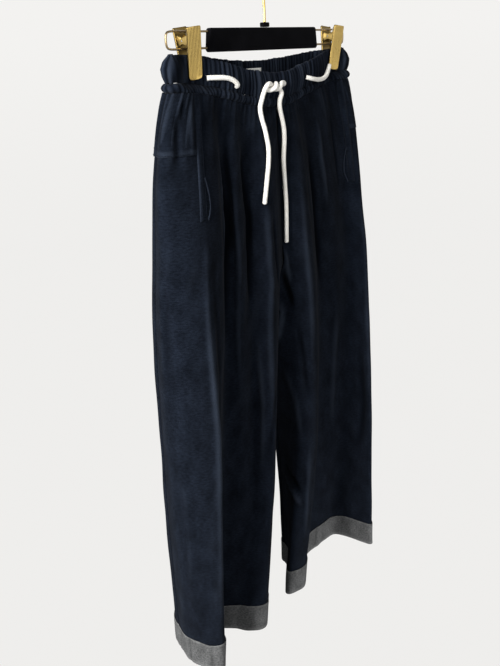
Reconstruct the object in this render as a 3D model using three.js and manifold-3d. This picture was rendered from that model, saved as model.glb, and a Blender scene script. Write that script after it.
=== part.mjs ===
// Wide cropped trousers with an elastic waist and turned-up cuffs, on a clip hanger.
// Millimetres, +Z up, the front faces -Y, and the origin is where the hook bears on its rail.
// Left and right are the wearer's, so the right leg lies on the -X side.
import * as THREE from 'three';
import Module from 'manifold-3d';
import { mergeVertices } from 'three/addons/utils/BufferGeometryUtils.js';

const wasm = await Module();
wasm.setup();

// Fit between pieces
const GAP = 0.3;

// Heights below the hook's bearing point
const BAND_TOP = -117;
const BAND_HEIGHT = 31.7;
const RUFFLE_HEIGHT = 10.7;
const SEAM = BAND_TOP - BAND_HEIGHT - RUFFLE_HEIGHT - 2 * GAP;
const HEM = -981;
const RISE_TURN = -400;
const CROTCH = -510;
const YOKE_EDGE = -232;
const POCKET_END = -312;
const CUFF_HEIGHT = 42;

// Cloth
const CLOTH = 2;
const YOKE_CLOTH = 1.2;
const POCKET_EDGE_CLOTH = 1.5;
const CUFF_CLOTH = 1.8;
const BAND_CLOTH = 3;
const RUFFLE_CLOTH = 2;

// Waist opening, which sags between the clips
const FRONT_SAG = 27;
const BACK_SAG = 12;
const SAG_HALF_SPAN = 170;
const GATHERS_PER_QUARTER = 20;
const BAND_RELIEF = 0.8;
const BAND_BULGE = 1.5;
const BAND_ARC = [0.12, 0.88];
const LEG_GATHER_RELIEF = 0.6;
const LEG_GATHER_REACH = 0.16;

// Clip hanger
const CLIP_X = { right: -141, left: 149 };
const CLIP_TILT_DEGREES = 5.5;
const CLIP_PINCH = 3.5;
const PINCH_INSET = 3;
const CLIP_FLAT = 14;
const CLIP_EASE = 22;

// Levels at which the fold tables give each fold's place, as shares of the way down a leg
const shareOf = (z) => (SEAM - z) / (SEAM - HEM);
const LEVELS = [SEAM, -380, -680, HEM].map(shareOf);
const WAIST_FLARE = 1.8;
const SIDE_FLARE = 3;

// Fold tables: one row for each crest or valley line, in order from the outseam to the centre.
// x and y hold the line's place at the waist, hip, knee and hem levels; steps is the number of
// facets between the line before and this one; flare is how fast x opens below the waist.
const FOLDS = {
  rightFront: [
    { fold: 'side', x: [-178.5, -210, -220, -218], y: [-4, 4, 4, 2], steps: 2, flare: SIDE_FLARE },
    { fold: 'lit side', x: [-165, -193, -207, -213], y: [-12, -22, -28, -33], steps: 2 },
    { fold: 'outer crest', x: [-137, -162, -179, -200], y: [-9, -36, -47, -50], steps: 3 },
    { fold: 'side ridge', x: [-120, -136, -159, -180], y: [-12, -31, -29, -32], steps: 2 },
    { fold: 'outer valley', x: [-101, -102, -124, -148], y: [-10, -9, -2, 13], steps: 2 },
    { fold: 'middle ridge', x: [-87, -90, -98, -127], y: [-15, -19, -13, -6], steps: 2 },
    { fold: 'inner valley', x: [-59, -57, -72, -115], y: [-13, -11, -19, -30], steps: 2 },
    { fold: 'inner crest', x: [-36, -40, -56, -96], y: [-19, -34, -40, -43], steps: 3 },
    { fold: 'thigh', x: [-18, -16, -31, -63], y: [-18, -27, -20, -14], steps: 2 },
  ],
  leftFront: [
    { fold: 'side', x: [181.5, 209, 221, 223], y: [-4, -2, -13, -12], steps: 2, flare: SIDE_FLARE },
    { fold: 'outer crest', x: [166, 186, 190, 195], y: [-13, -33, -49, -56], steps: 3 },
    { fold: 'outer valley', x: [132, 171, 184, 174], y: [-7, -13, -12, 16], steps: 3 },
    { fold: 'front panel', x: [95, 136, 152, 130], y: [-12, -15, 0, 19], steps: 3 },
    { fold: 'inner valley', x: [52, 96, 118, 84], y: [-13, -10, 6, 18], steps: 2 },
    { fold: 'inner crest', x: [20, 38, 45, 17], y: [-20, -35, -36, -31], steps: 3 },
    { fold: 'thigh', x: [8, 24, 32, -9], y: [-18, -26, -26, -24], steps: 2 },
  ],
  rightBack: [
    { fold: 'outer crest', x: [-164, -162, -168, -168], y: [16, 57, 64, 71], steps: 3 },
    { fold: 'outer valley', x: [-136, -132, -134, -134], y: [9, 46, 52, 56], steps: 3 },
    { fold: 'seat crest', x: [-95, -92, -98, -102], y: [15, 63, 72, 76], steps: 3 },
    { fold: 'seat valley', x: [-50, -52, -60, -66], y: [18, 50, 56, 58], steps: 3 },
  ],
  leftBack: [
    { fold: 'outer crest', x: [166, 172, 178, 183], y: [16, 58, 64, 70], steps: 3 },
    { fold: 'outer valley', x: [136, 136, 142, 150], y: [9, 46, 52, 56], steps: 3 },
    { fold: 'seat crest', x: [95, 96, 104, 116], y: [15, 63, 68, 74], steps: 3 },
    { fold: 'seat valley', x: [50, 54, 70, 84], y: [18, 50, 52, 57], steps: 3 },
  ],
};
const OUTSEAM = {
  right: { x: [-179, -201, -212, -209], y: [4, 26, 30, 32], flare: SIDE_FLARE },
  left: { x: [182, 205, 216, 217], y: [4, 27, 30, 34], flare: SIDE_FLARE },
};
const CENTRE_STEPS = 2;

// Centre seams, crotch and inseams
const CENTRE_X = [1, 6];
const CENTRE_FRONT_Y = -17;
const CENTRE_BACK_Y = [20, 50];
const CROTCH_Y = 21;
const INSEAM_SPREAD = { right: -31, left: 46 };
const INSEAM_BACK = 15;
const RISE_CURVE = 1.2;
const INSEAM_EARLY = 0.6;
const SEAT_EARLY = 1.3;
const OUTSEAM_LEAN = 0.25;

// Facet rows: steps from the rise's turn to the crotch, and on to the cuff
const ROWS_TO_CROTCH = 4;
const ROWS_TO_CUFF = 6;

// Steps of the measuring along the cloth, and the distance under which two points are one
const PROBE = 1e-3;
const WALK_STEPS = 40;
const TINY = 1e-6;
const WELD = 1e-4;

const QUARTERS = [
  { side: 'right', face: 'front' },
  { side: 'left', face: 'front' },
  { side: 'left', face: 'back' },
  { side: 'right', face: 'back' },
];

const LOOKS = {
  denim: { color: 0x242c3a, roughness: 0.92, metalness: 0 },
  band: { color: 0x1c2330, roughness: 0.92, metalness: 0 },
  reverse: { color: 0x7b7a7b, roughness: 0.95, metalness: 0 },
  label: { color: 0xf1f0ec, roughness: 0.8, metalness: 0 },
  cord: { color: 0xe9e3d8, roughness: 0.85, metalness: 0 },
  barFlock: { color: 0x121214, roughness: 0.75, metalness: 0 },
  gold: { color: 0xc4a468, roughness: 0.32, metalness: 0.9 },
  steel: { color: 0x55534e, roughness: 0.4, metalness: 0.9 },
};

const clamp01 = (t) => Math.min(1, Math.max(0, t));
const smooth = (t) => clamp01(t) * clamp01(t) * (3 - 2 * clamp01(t));
const lerp = (a, b, t) => a + (b - a) * t;

function hermite(p0, p1, m0, m1, t) {
  const t2 = t * t;
  const t3 = t2 * t;
  return (2 * t3 - 3 * t2 + 1) * p0 + (t3 - 2 * t2 + t) * m0 + (3 * t2 - 2 * t3) * p1 + (t3 - t2) * m1;
}

// A fold line's x or y at a share of the way down, eased through its four level values
function alongLevels(values, share, flare = WAIST_FLARE) {
  const spans = [0, 1, 2].map((i) => LEVELS[i + 1] - LEVELS[i]);
  const rates = [0, 1, 2].map((i) => (values[i + 1] - values[i]) / spans[i]);
  const inner = (i) => (rates[i - 1] * spans[i] + rates[i] * spans[i - 1]) / (spans[i - 1] + spans[i]);
  const slopes = [rates[0] * flare, inner(1), inner(2), rates[2]];
  const i = share < LEVELS[1] ? 0 : share < LEVELS[2] ? 1 : 2;
  const t = (share - LEVELS[i]) / spans[i];
  return hermite(values[i], values[i + 1], slopes[i] * spans[i], slopes[i + 1] * spans[i], t);
}

function levelPoint(row, share) {
  return new THREE.Vector2(alongLevels(row.x, share, row.flare), alongLevels(row.y, share));
}

const crotchShare = shareOf(CROTCH);
const turnShare = shareOf(RISE_TURN);

// Where a leg panel ends: the centre seam above the crotch, the inseam below it
function innerPoint(side, face, share) {
  const away = side === 'right' ? -GAP / 2 : GAP / 2;
  if (share < crotchShare) {
    const turn = clamp01((share - turnShare) / (crotchShare - turnShare)) ** RISE_CURVE;
    const down = clamp01(share / turnShare);
    const back = lerp(CENTRE_BACK_Y[0], CENTRE_BACK_Y[1], smooth(SEAT_EARLY * down));
    const y = face === 'front' ? CENTRE_FRONT_Y : back;
    return new THREE.Vector2(lerp(CENTRE_X[0], CENTRE_X[1], down) + away, lerp(y, CROTCH_Y, turn));
  }
  const below = (share - crotchShare) / (1 - crotchShare);
  const spread = INSEAM_SPREAD[side] * below * (1 + INSEAM_EARLY * (1 - below));
  return new THREE.Vector2(CENTRE_X[1] + away + spread, CROTCH_Y + INSEAM_BACK * below);
}

// The way the cloth runs there, from along the waist to front-to-back at the crotch
function innerDirection(side, face, share) {
  const turn = (Math.PI / 2) * clamp01((share - turnShare) / (crotchShare - turnShare));
  const sx = side === 'right' ? 1 : -1;
  const sy = face === 'front' ? 1 : -1;
  return new THREE.Vector2(sx * Math.cos(turn), sy * Math.sin(turn));
}

function outerDirection(side, face) {
  const along = face === 'front' ? -1 : 1;
  const out = side === 'right' ? OUTSEAM_LEAN : -OUTSEAM_LEAN;
  return new THREE.Vector2(out * along, along).normalize();
}

const foldRows = (side, face) => FOLDS[side + (face === 'front' ? 'Front' : 'Back')];

// The horizontal line of a leg panel: its points and directions at every fold
function sectionLine(side, face, share) {
  const rows = foldRows(side, face);
  const points = [levelPoint(OUTSEAM[side], share)];
  for (const row of rows) {
    points.push(levelPoint(row, share));
  }
  points.push(innerPoint(side, face, share));
  const lengths = points.slice(1).map((p, i) => p.distanceTo(points[i]));
  const directions = [outerDirection(side, face)];
  for (let i = 1; i < points.length - 1; i += 1) {
    const before = points[i].clone().sub(points[i - 1]).divideScalar(lengths[i - 1]);
    const after = points[i + 1].clone().sub(points[i]).divideScalar(lengths[i]);
    before.multiplyScalar(lengths[i]).addScaledVector(after, lengths[i - 1]);
    directions.push(before.divideScalar(lengths[i] + lengths[i - 1]));
  }
  directions.push(innerDirection(side, face, share));
  return { points, lengths, directions };
}

// A point of the cloth's outer face; place counts folds from 0 at the outseam to the last at the centre
function clothPoint(side, face, place, share) {
  const { points, lengths, directions } = sectionLine(side, face, share);
  const i = Math.min(points.length - 2, Math.floor(place));
  const t = place - i;
  const ease = (axis) =>
    hermite(
      points[i][axis],
      points[i + 1][axis],
      directions[i][axis] * lengths[i],
      directions[i + 1][axis] * lengths[i],
      t,
    );
  const x = ease('x');
  const sag = (face === 'front' ? FRONT_SAG : BACK_SAG) * sagShape(x) * clamp01(1 - share / crotchShare) ** 2;
  return new THREE.Vector3(x, ease('y'), lerp(SEAM, HEM, share) - sag);
}

function sagShape(x) {
  const across = clamp01(Math.abs(x) / SAG_HALF_SPAN);
  return Math.cos((Math.PI / 2) * across) ** 2;
}

const outwardSign = (side, face) => (side === 'right' ? 1 : -1) * (face === 'front' ? 1 : -1);

// The outward direction of the cloth at a point
function clothNormal(side, face, place, share) {
  const last = foldRows(side, face).length + 1;
  const forward = place + PROBE > last ? -PROBE : PROBE;
  const lower = share + PROBE > 1 ? -PROBE : PROBE;
  const here = clothPoint(side, face, place, share);
  const across = clothPoint(side, face, place + forward, share).sub(here).multiplyScalar(Math.sign(forward));
  const down = clothPoint(side, face, place, share + lower).sub(here).multiplyScalar(Math.sign(lower));
  return down.cross(across).normalize().multiplyScalar(outwardSign(side, face));
}

// Facet columns: fold places from the outseam to the centre
function columnPlaces(side, face) {
  const rows = foldRows(side, face);
  const places = [0];
  rows.forEach((row, i) => {
    for (let k = 1; k <= row.steps; k += 1) {
      places.push(i + k / row.steps);
    }
  });
  for (let k = 1; k <= CENTRE_STEPS; k += 1) {
    places.push(rows.length + k / CENTRE_STEPS);
  }
  return places;
}

// Facet rows: shares of the way down, closer together round the crotch, one on the yoke's edge,
// one on the pocket's end and one on the cuff's top
function rowShares() {
  const yoke = shareOf(YOKE_EDGE);
  const shares = [0, yoke / 2, yoke, shareOf(POCKET_END), turnShare];
  for (let k = 1; k <= ROWS_TO_CROTCH; k += 1) {
    shares.push(lerp(turnShare, crotchShare, Math.sin((Math.PI / 2) * (k / ROWS_TO_CROTCH))));
  }
  const cuff = shareOf(HEM + CUFF_HEIGHT);
  for (let k = 1; k <= ROWS_TO_CUFF; k += 1) {
    shares.push(lerp(crotchShare, cuff, k / ROWS_TO_CUFF));
  }
  shares.push(1);
  return shares;
}
const ROWS = rowShares();
const YOKE_ROW = 2;
const POCKET_ROW = 3;
const CUFF_ROW = ROWS.length - 2;

// Small gathers below the waist seam, raised on every other column
const gatherHeight = (column, share) =>
  LEG_GATHER_RELIEF * (column % 2) * (1 - smooth(share / LEG_GATHER_REACH));

// A seam edge moves back half a gap along the cloth; the rest of the panel stays
function seamSetBack(side, face, column, columns, share) {
  if (column === 0) {
    const direction = outerDirection(side, face).multiplyScalar(GAP / 2);
    return new THREE.Vector3(direction.x, direction.y, 0);
  }
  if (column === columns - 1) {
    const direction = innerDirection(side, face, share).multiplyScalar(-GAP / 2);
    return new THREE.Vector3(0, direction.y, 0);
  }
  return new THREE.Vector3();
}

// The panel's own facet corner, moved out along the cloth's normal; the top and hem edges stay level
function panelCorner(side, face, column, row, out) {
  const places = columnPlaces(side, face);
  const share = ROWS[row];
  const point = clothPoint(side, face, places[column], share);
  const height = point.z;
  point.addScaledVector(clothNormal(side, face, places[column], share), out);
  if (row === 0 || row === ROWS.length - 1) {
    point.z = height;
  }
  return point.add(seamSetBack(side, face, column, places.length, share));
}

// A closed body swept through loops of points. Each loop runs down one face and back up the other,
// and both faces are split along the same diagonals, so that layers on each other stay apart.
function sweep(loops, ring) {
  const size = loops[0].length;
  const positions = loops.flat().flatMap((p) => [p.x, p.y, p.z]);
  const index = [];
  const at = (i, j) => (i % loops.length) * size + (j % size);
  const turns = ring ? loops.length : loops.length - 1;
  for (let i = 0; i < turns; i += 1) {
    for (let j = 0; j < size; j += 1) {
      const corners = [at(i, j), at(i + 1, j), at(i + 1, j + 1), at(i, j + 1)];
      const [a, b, c, d] = j < size / 2 ? corners : [...corners.slice(1), corners[0]];
      index.push(a, b, c, a, c, d);
    }
  }
  if (!ring) {
    for (let j = 0; j < size / 2 - 1; j += 1) {
      const k = size - 1 - j;
      const end = loops.length - 1;
      index.push(at(0, j), at(0, j + 1), at(0, k - 1), at(0, j), at(0, k - 1), at(0, k));
      index.push(at(end, j), at(end, k - 1), at(end, j + 1), at(end, j), at(end, k), at(end, k - 1));
    }
  }
  return closedGeometry(positions, index);
}

// A geometry whose faces point out, whichever way its loops ran
function closedGeometry(positions, index) {
  const corner = (n) => new THREE.Vector3(...positions.slice(3 * n, 3 * n + 3));
  let volume = 0;
  for (let n = 0; n < index.length; n += 3) {
    volume += corner(index[n]).dot(corner(index[n + 1]).cross(corner(index[n + 2])));
  }
  if (volume < 0) {
    index.reverse();
  }
  const geometry = new THREE.BufferGeometry();
  geometry.setAttribute('position', new THREE.Float32BufferAttribute(positions, 3));
  geometry.setIndex(index);
  geometry.computeVertexNormals();
  return geometry;
}

const part = new THREE.Group();

function add(name, geometry, look) {
  const mesh = new THREE.Mesh(geometry, new THREE.MeshStandardMaterial(LOOKS[look]));
  mesh.name = name;
  part.add(mesh);
  return mesh;
}

const span = (from, to) => Array.from({ length: to - from + 1 }, (_, i) => from + i);

// A layer of cloth on the panels' columns, from one row to another, between two heights off the cloth
function layerLoop(side, face, column, rows, inner, outer) {
  const rise = (row) => gatherHeight(column, ROWS[row]);
  const out = rows.map((row) => panelCorner(side, face, column, row, outer + rise(row)));
  const back = [...rows].reverse();
  const under = back.map((row) => panelCorner(side, face, column, row, inner + (inner < 0 ? 0 : rise(row))));
  return [...out, ...under];
}

// Columns in the order that goes from the centre front round the outseam to the centre back
function walkColumns(side, face) {
  const columns = span(0, columnPlaces(side, face).length - 1);
  return face === 'front' ? columns.reverse() : columns;
}

function legPanel(side, face) {
  const rows = span(0, ROWS.length - 1);
  return sweep(walkColumns(side, face).map((c) => layerLoop(side, face, c, rows, -CLOTH, 0)), false);
}

// The pocket line runs one column behind the outer crest on the right leg and one before it on the left
function pocketColumn(side) {
  const rows = foldRows(side, 'front');
  const crest = rows.findIndex((row) => row.fold === 'outer crest');
  const steps = rows.slice(0, crest + 1).reduce((sum, row) => sum + row.steps, 0);
  return side === 'right' ? steps - 1 : steps + 1;
}

// The yoke: from the pocket line round the outseam to the centre back, lapped over the leg
function yoke(side) {
  const rows = span(0, YOKE_ROW);
  const inner = GAP;
  const outer = GAP + YOKE_CLOTH;
  const front = span(0, pocketColumn(side)).reverse();
  const back = span(1, columnPlaces(side, 'back').length - 1);
  const loops = front.map((c) => layerLoop(side, 'front', c, rows, inner, outer));
  loops.push(...back.map((c) => layerLoop(side, 'back', c, rows, inner, outer)));
  const edge = loops[0].map((p, i) => p.clone().lerp(loops[1][i], GAP / p.distanceTo(loops[1][i])));
  loops[0] = edge;
  return sweep(loops, false);
}

// The folded edge of the front panel along the pocket's mouth
function pocketEdge(side) {
  const column = pocketColumn(side);
  const rows = span(0, POCKET_ROW);
  const outer = GAP + POCKET_EDGE_CLOTH;
  const loops = [column + 1, column].map((c) => layerLoop(side, 'front', c, rows, GAP, outer));
  return sweep(loops, false);
}

// The turn-up: a wall outside the leg whose foot turns under the leg's hem
function cuff(side) {
  const face = (name, columns) => columns.map((c) => ({ name, c }));
  const front = face('front', walkColumns(side, 'front'));
  const back = face('back', walkColumns(side, 'back'));
  const bottom = ROWS.length - 1;
  const foot = new THREE.Vector3(0, 0, -CUFF_CLOTH - GAP);
  const lip = new THREE.Vector3(0, 0, -GAP);
  const loops = [...front, ...back].map(({ name, c }) => [
    panelCorner(side, name, c, CUFF_ROW, GAP + CUFF_CLOTH),
    panelCorner(side, name, c, bottom, GAP + CUFF_CLOTH).add(foot),
    panelCorner(side, name, c, bottom, -CLOTH).add(foot),
    panelCorner(side, name, c, bottom, -CLOTH).add(lip),
    panelCorner(side, name, c, bottom, GAP).add(lip),
    panelCorner(side, name, c, CUFF_ROW, GAP),
  ]);
  return sweep(loops, true);
}

// The waist seam's line, walked evenly all round, with the outward direction at each point
function waistLine() {
  const line = [];
  const perQuarter = 2 * GATHERS_PER_QUARTER;
  for (const { side, face } of QUARTERS) {
    const last = foldRows(side, face).length + 1;
    const fine = span(0, WALK_STEPS * last).map((n) => n / WALK_STEPS);
    const points = fine.map((place) => clothPoint(side, face, place, 0));
    const walked = [0];
    points.slice(1).forEach((p, i) => {
      walked.push(walked[i] + Math.hypot(p.x - points[i].x, p.y - points[i].y));
    });
    const total = walked[walked.length - 1];
    const quarter = span(0, perQuarter - 1).map((n) => {
      const target = (total * (side === 'right' ? n : n + 1)) / perQuarter;
      const k = Math.max(1, walked.findIndex((w) => w >= target - TINY));
      const t = (target - walked[k - 1]) / (walked[k] - walked[k - 1]);
      return { point: points[k - 1].clone().lerp(points[k], t), face };
    });
    const clockwise = (side === 'right') === (face === 'front');
    line.push(...(clockwise ? quarter : [...quarter].reverse()));
  }
  return line;
}

// 1 between a clip's jaws, easing to 0 beside them
function pinchAt(x) {
  const centre = x < 0 ? CLIP_X.right + PINCH_INSET : CLIP_X.left - PINCH_INSET;
  return 1 - smooth((Math.abs(x - centre) - CLIP_FLAT) / CLIP_EASE);
}

// The band's line: the waist line, drawn flat between the jaws of each clip
function bandPoint({ point, face }, pinched) {
  const flat = face === 'front' ? -CLIP_PINCH : CLIP_PINCH;
  return new THREE.Vector2(point.x, lerp(point.y, flat, pinched * pinchAt(point.x)));
}

// The band's outward directions in plan, from the neighbours on either side
function planNormals(points) {
  return points.map((_, i) => {
    const before = points[(i + points.length - 1) % points.length];
    const after = points[(i + 1) % points.length];
    const along = after.clone().sub(before).normalize();
    return new THREE.Vector2(along.y, -along.x);
  });
}

// A gathered ring: raised in its outer points, plain inside
function gatheredRing(rows, thickness) {
  const line = waistLine();
  const levels = rows.map((row) => {
    const points = line.map((entry) => bandPoint(entry, row.pinched));
    return { ...row, points, normals: planNormals(points) };
  });
  const loops = line.map((entry, i) => {
    const sag = (entry.face === 'front' ? FRONT_SAG : BACK_SAG) * sagShape(entry.point.x);
    const free = (row) => 1 - row.pinched * pinchAt(entry.point.x);
    const corner = (level, out) =>
      new THREE.Vector3(
        level.points[i].x + level.normals[i].x * out,
        level.points[i].y + level.normals[i].y * out,
        level.z - sag,
      );
    const relief = (level) => free(level) * (level.bulge + BAND_RELIEF * (i % 2));
    const outer = levels.map((level) => corner(level, relief(level)));
    const inner = [corner(levels[levels.length - 1], -thickness), corner(levels[0], -thickness)];
    return [...outer, ...inner];
  });
  return sweep(loops, true);
}

function waistband() {
  const rows = [0, 1 / 3, 2 / 3, 1].map((down) => ({
    z: BAND_TOP - BAND_HEIGHT * down,
    pinched: 1,
    bulge: BAND_BULGE * Math.sin(Math.PI * lerp(...BAND_ARC, down)),
  }));
  return gatheredRing(rows, BAND_CLOTH);
}

function waistRuffle() {
  const top = BAND_TOP - BAND_HEIGHT - GAP;
  const rows = [
    { z: top, pinched: 1, bulge: 0 },
    { z: top - RUFFLE_HEIGHT, pinched: 0, bulge: 0 },
  ];
  return gatheredRing(rows, RUFFLE_CLOTH);
}

add('waistband', waistband(), 'band');
add('waist_ruffle', waistRuffle(), 'band');
for (const side of ['right', 'left']) {
  add(`front_${side}`, legPanel(side, 'front'), 'denim');
  add(`back_${side}`, legPanel(side, 'back'), 'denim');
  add(`yoke_${side}`, yoke(side), 'denim');
  add(`pocket_edge_${side}`, pocketEdge(side), 'denim');
  add(`cuff_${side}`, cuff(side), 'reverse');
}

// A round bar or cord along a smooth line through its points
function tube(points, radius, sides, steps) {
  const circle = new THREE.Shape();
  const corner = (n) => (2 * Math.PI * n) / sides;
  circle.moveTo(radius, 0);
  for (let n = 1; n < sides; n += 1) {
    circle.lineTo(radius * Math.cos(corner(n)), radius * Math.sin(corner(n)));
  }
  const route = points.map((p) => new THREE.Vector3(...p));
  const extrudePath = new THREE.CatmullRomCurve3(route, false, 'centripetal');
  return new THREE.ExtrudeGeometry(circle, { steps, extrudePath, curveSegments: 1 });
}

// Blank label inside the centre back of the band
const LABEL = { width: 30, height: 20, thickness: 0.6, drop: 9, centre: -7, reach: 4 };

function label() {
  const half = LABEL.width / 2;
  const near = ({ point, face }) => face === 'back' && Math.abs(point.x - LABEL.centre) < half + LABEL.reach;
  const points = waistLine().filter(near).map((entry) => bandPoint(entry, 1));
  const loops = points.map((p) => {
    const y = p.y - BAND_CLOTH - GAP;
    const x = THREE.MathUtils.clamp(p.x, LABEL.centre - half, LABEL.centre + half);
    const top = BAND_TOP - BACK_SAG - LABEL.drop;
    return [
      new THREE.Vector3(x, y, top),
      new THREE.Vector3(x, y, top - LABEL.height),
      new THREE.Vector3(x, y - LABEL.thickness, top - LABEL.height),
      new THREE.Vector3(x, y - LABEL.thickness, top),
    ];
  });
  return sweep(loops, false);
}
add('label', label(), 'label');

// Drawstring: out of one hole and into the next on each side, tied between two holes at the front
const CORD_RADIUS = 3;
const CORDS = {
  drawstring_right_stretch: {
    steps: 12,
    points: [[-79.5, -18.2, -157], [-79.9, -20.3, -156.6], [-82, -22.4, -154.4], [-86.5, -22.4, -150.8],
      [-93, -21.2, -147.6], [-101, -19.4, -146], [-109, -17.2, -145.4], [-116, -14, -145.2],
      [-122.4, -10.2, -145.2]],
  },
  drawstring_left_stretch: {
    steps: 14,
    points: [[66, -16.3, -153.4], [69, -19.4, -154.5], [76, -20.6, -156], [88, -20, -157.5],
      [100, -18.6, -157.2], [110, -16.8, -154.8], [118, -14.2, -150.6], [124.5, -11.8, -145.2],
      [128.8, -10.4, -139.4]],
  },
  drawstring_knot_short: {
    steps: 26,
    points: [[8, -22, -159.4], [6.6, -24.6, -159], [3.4, -27.4, -157.6], [-2.4, -29.4, -157],
      [-8.8, -32.5, -159.2], [-12, -32.5, -162.8], [-15.2, -29.5, -164.5], [-18.5, -26.5, -162.8],
      [-21.8, -26.5, -159.2], [-27.4, -29.2, -157], [-32.6, -30.2, -158], [-36.4, -29.2, -162.4],
      [-38, -26.4, -169.5]],
  },
  drawstring_knot_long: {
    steps: 26,
    points: [[-30.4, -22, -163.6], [-29.6, -24.8, -164], [-27.2, -28.4, -164.9], [-21.8, -32.5, -162.8],
      [-18.5, -32.5, -159.2], [-15.2, -29.5, -157.5], [-12, -26.5, -159.2], [-8.8, -26.5, -162.8],
      [-6, -28.6, -165.8], [-4.9, -29.8, -170.4], [-5.6, -28.4, -175.8]],
  },
  drawstring_short_end: {
    steps: 18,
    points: [[-38.2, -26.1, -170.4], [-38.9, -25.4, -174], [-42, -25.7, -179.5], [-44.5, -26.2, -185],
      [-45, -27, -191], [-43, -27.6, -201], [-40, -28.6, -211], [-38, -30, -223], [-36.5, -31.2, -236],
      [-37, -31.8, -246], [-39, -32.4, -259], [-42, -32.8, -272], [-45, -32.6, -288], [-48, -31.6, -308]],
  },
  drawstring_long_end: {
    steps: 24,
    points: [[-5.7, -28.2, -176.3], [-5.8, -27.2, -180], [-4.8, -26, -186], [-2.5, -25.2, -193],
      [1, -24.6, -202], [5, -24.2, -216], [6, -24, -229], [5, -23.8, -242], [4, -23.4, -258],
      [5, -23.2, -277], [6, -23.4, -297], [7, -23.6, -317], [7, -23.6, -337], [7, -23.2, -355],
      [7, -22.8, -373]],
  },
};
for (const [name, { points, steps }] of Object.entries(CORDS)) {
  add(name, tube(points, CORD_RADIUS, 8, steps), 'cord');
}

// Hanger bar and neck
const BAR = { width: 213, height: 28, thickness: 8, top: -88, corner: 4, spread: 2.5 };
const NECK = { width: 12, height: 5.7, thickness: 7, corner: 1.5, spread: 0 };

// A flat bar with rounded corners, whose foot reaches further than its top at each end
function roundedPlate({ width, height, thickness, corner, spread }) {
  const shape = new THREE.Shape();
  const x = width / 2;
  const foot = x + spread;
  const z = height / 2;
  shape.moveTo(-foot + corner, -z);
  shape.lineTo(foot - corner, -z);
  shape.quadraticCurveTo(foot, -z, foot, -z + corner);
  shape.lineTo(x, z - corner);
  shape.quadraticCurveTo(x, z, x - corner, z);
  shape.lineTo(-x + corner, z);
  shape.quadraticCurveTo(-x, z, -x, z - corner);
  shape.lineTo(-foot, -z + corner);
  shape.quadraticCurveTo(-foot, -z, -foot + corner, -z);
  const plate = new THREE.ExtrudeGeometry(shape, { depth: thickness, bevelEnabled: false, curveSegments: 3 });
  plate.translate(0, 0, -thickness / 2);
  plate.rotateX(Math.PI / 2);
  return plate;
}
add('hanger_bar', roundedPlate(BAR).translate(0, 0, BAR.top - BAR.height / 2), 'barFlock');
const neckBase = BAR.top + GAP;
add('hanger_neck', roundedPlate(NECK).translate(0, 0, neckBase + NECK.height / 2), 'barFlock');

// Hook: a straight stem, a bend to one side and an arc over the rail, which bears on the origin
const HOOK = { wire: 1.75, inside: 22, bendStart: -52, bend: [3.2, 5.5], sides: 10, steps: 34 };
const HOOK_ARC_DEGREES = [-48, -24, 0, 25, 50, 75, 100, 125, 150, 175, 196];

function hookPoints() {
  const radius = HOOK.inside + HOOK.wire;
  const arc = (degrees) => {
    const a = THREE.MathUtils.degToRad(degrees);
    return [radius * Math.cos(a), 0, -HOOK.inside + radius * Math.sin(a)];
  };
  const stemFoot = neckBase + NECK.height + GAP;
  const stem = [[0, 0, stemFoot], [0, 0, (stemFoot + HOOK.bendStart) / 2], [0, 0, HOOK.bendStart]];
  const [bendX, bendZ] = HOOK.bend;
  return [...stem, [bendX, 0, HOOK.bendStart + bendZ], ...HOOK_ARC_DEGREES.map(arc)];
}
add('hanger_hook', tube(hookPoints(), HOOK.wire, HOOK.sides, HOOK.steps), 'gold');

// Wire loops that the clips slide on, one from each end of the bar
const LOOP = { wire: 1.3, top: -92, bottom: -111, end: 176, corner: 5, cut: 1.5, sides: 8, steps: 26 };

function wireLoop(sign) {
  const slant = BAR.height - 2 * BAR.corner;
  const barEnd = (z) => BAR.width / 2 + BAR.spread * clamp01((BAR.top - BAR.corner - z) / slant) + GAP;
  const bend = LOOP.end - LOOP.corner;
  const points = [
    [barEnd(LOOP.top - LOOP.wire), LOOP.top], [(BAR.width / 2 + bend) / 2, LOOP.top], [bend, LOOP.top],
    [LOOP.end - LOOP.cut, LOOP.top - LOOP.cut],
    [LOOP.end, LOOP.top - LOOP.corner], [LOOP.end, LOOP.bottom + LOOP.corner],
    [LOOP.end - LOOP.cut, LOOP.bottom + LOOP.cut], [bend, LOOP.bottom],
    [(BAR.width / 2 + bend) / 2, LOOP.bottom], [barEnd(LOOP.bottom - LOOP.wire), LOOP.bottom],
  ];
  return tube(points.map(([x, z]) => [sign * x, 0, z]), LOOP.wire, LOOP.sides, LOOP.steps);
}

// Clips: two jaws whose lugs ride between the wires and turn on a sprung pin
const JAW = { width: 22, length: 60, thickness: 2.2, foot: -146, leanDegrees: 6.8 };
const RIB = { count: 6, height: 0.5, shoulder: 0.25 };
const LUG = { thickness: 1.2, height: 13.2, frontX: 9.6, backX: 7.6, reach: 3.2, root: -10.6 };
const PIN = { radius: 1.5, sides: 12, z: (LOOP.top + LOOP.bottom) / 2 };
const SPRING = { inner: PIN.radius + GAP, outer: 3.8, length: 14.4 };

function solidOf(geometry) {
  geometry.deleteAttribute('normal');
  geometry.deleteAttribute('uv');
  const merged = mergeVertices(geometry, WELD);
  const vertProperties = new Float32Array(merged.attributes.position.array);
  const triVerts = new Uint32Array(merged.index.array);
  return new wasm.Manifold(new wasm.Mesh({ numProp: 3, vertProperties, triVerts }));
}

function geometryOf(solid) {
  const { vertProperties, triVerts } = solid.getMesh();
  const geometry = new THREE.BufferGeometry();
  geometry.setAttribute('position', new THREE.Float32BufferAttribute(vertProperties, 3));
  geometry.setIndex(Array.from(triVerts));
  geometry.computeVertexNormals();
  return geometry;
}

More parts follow.
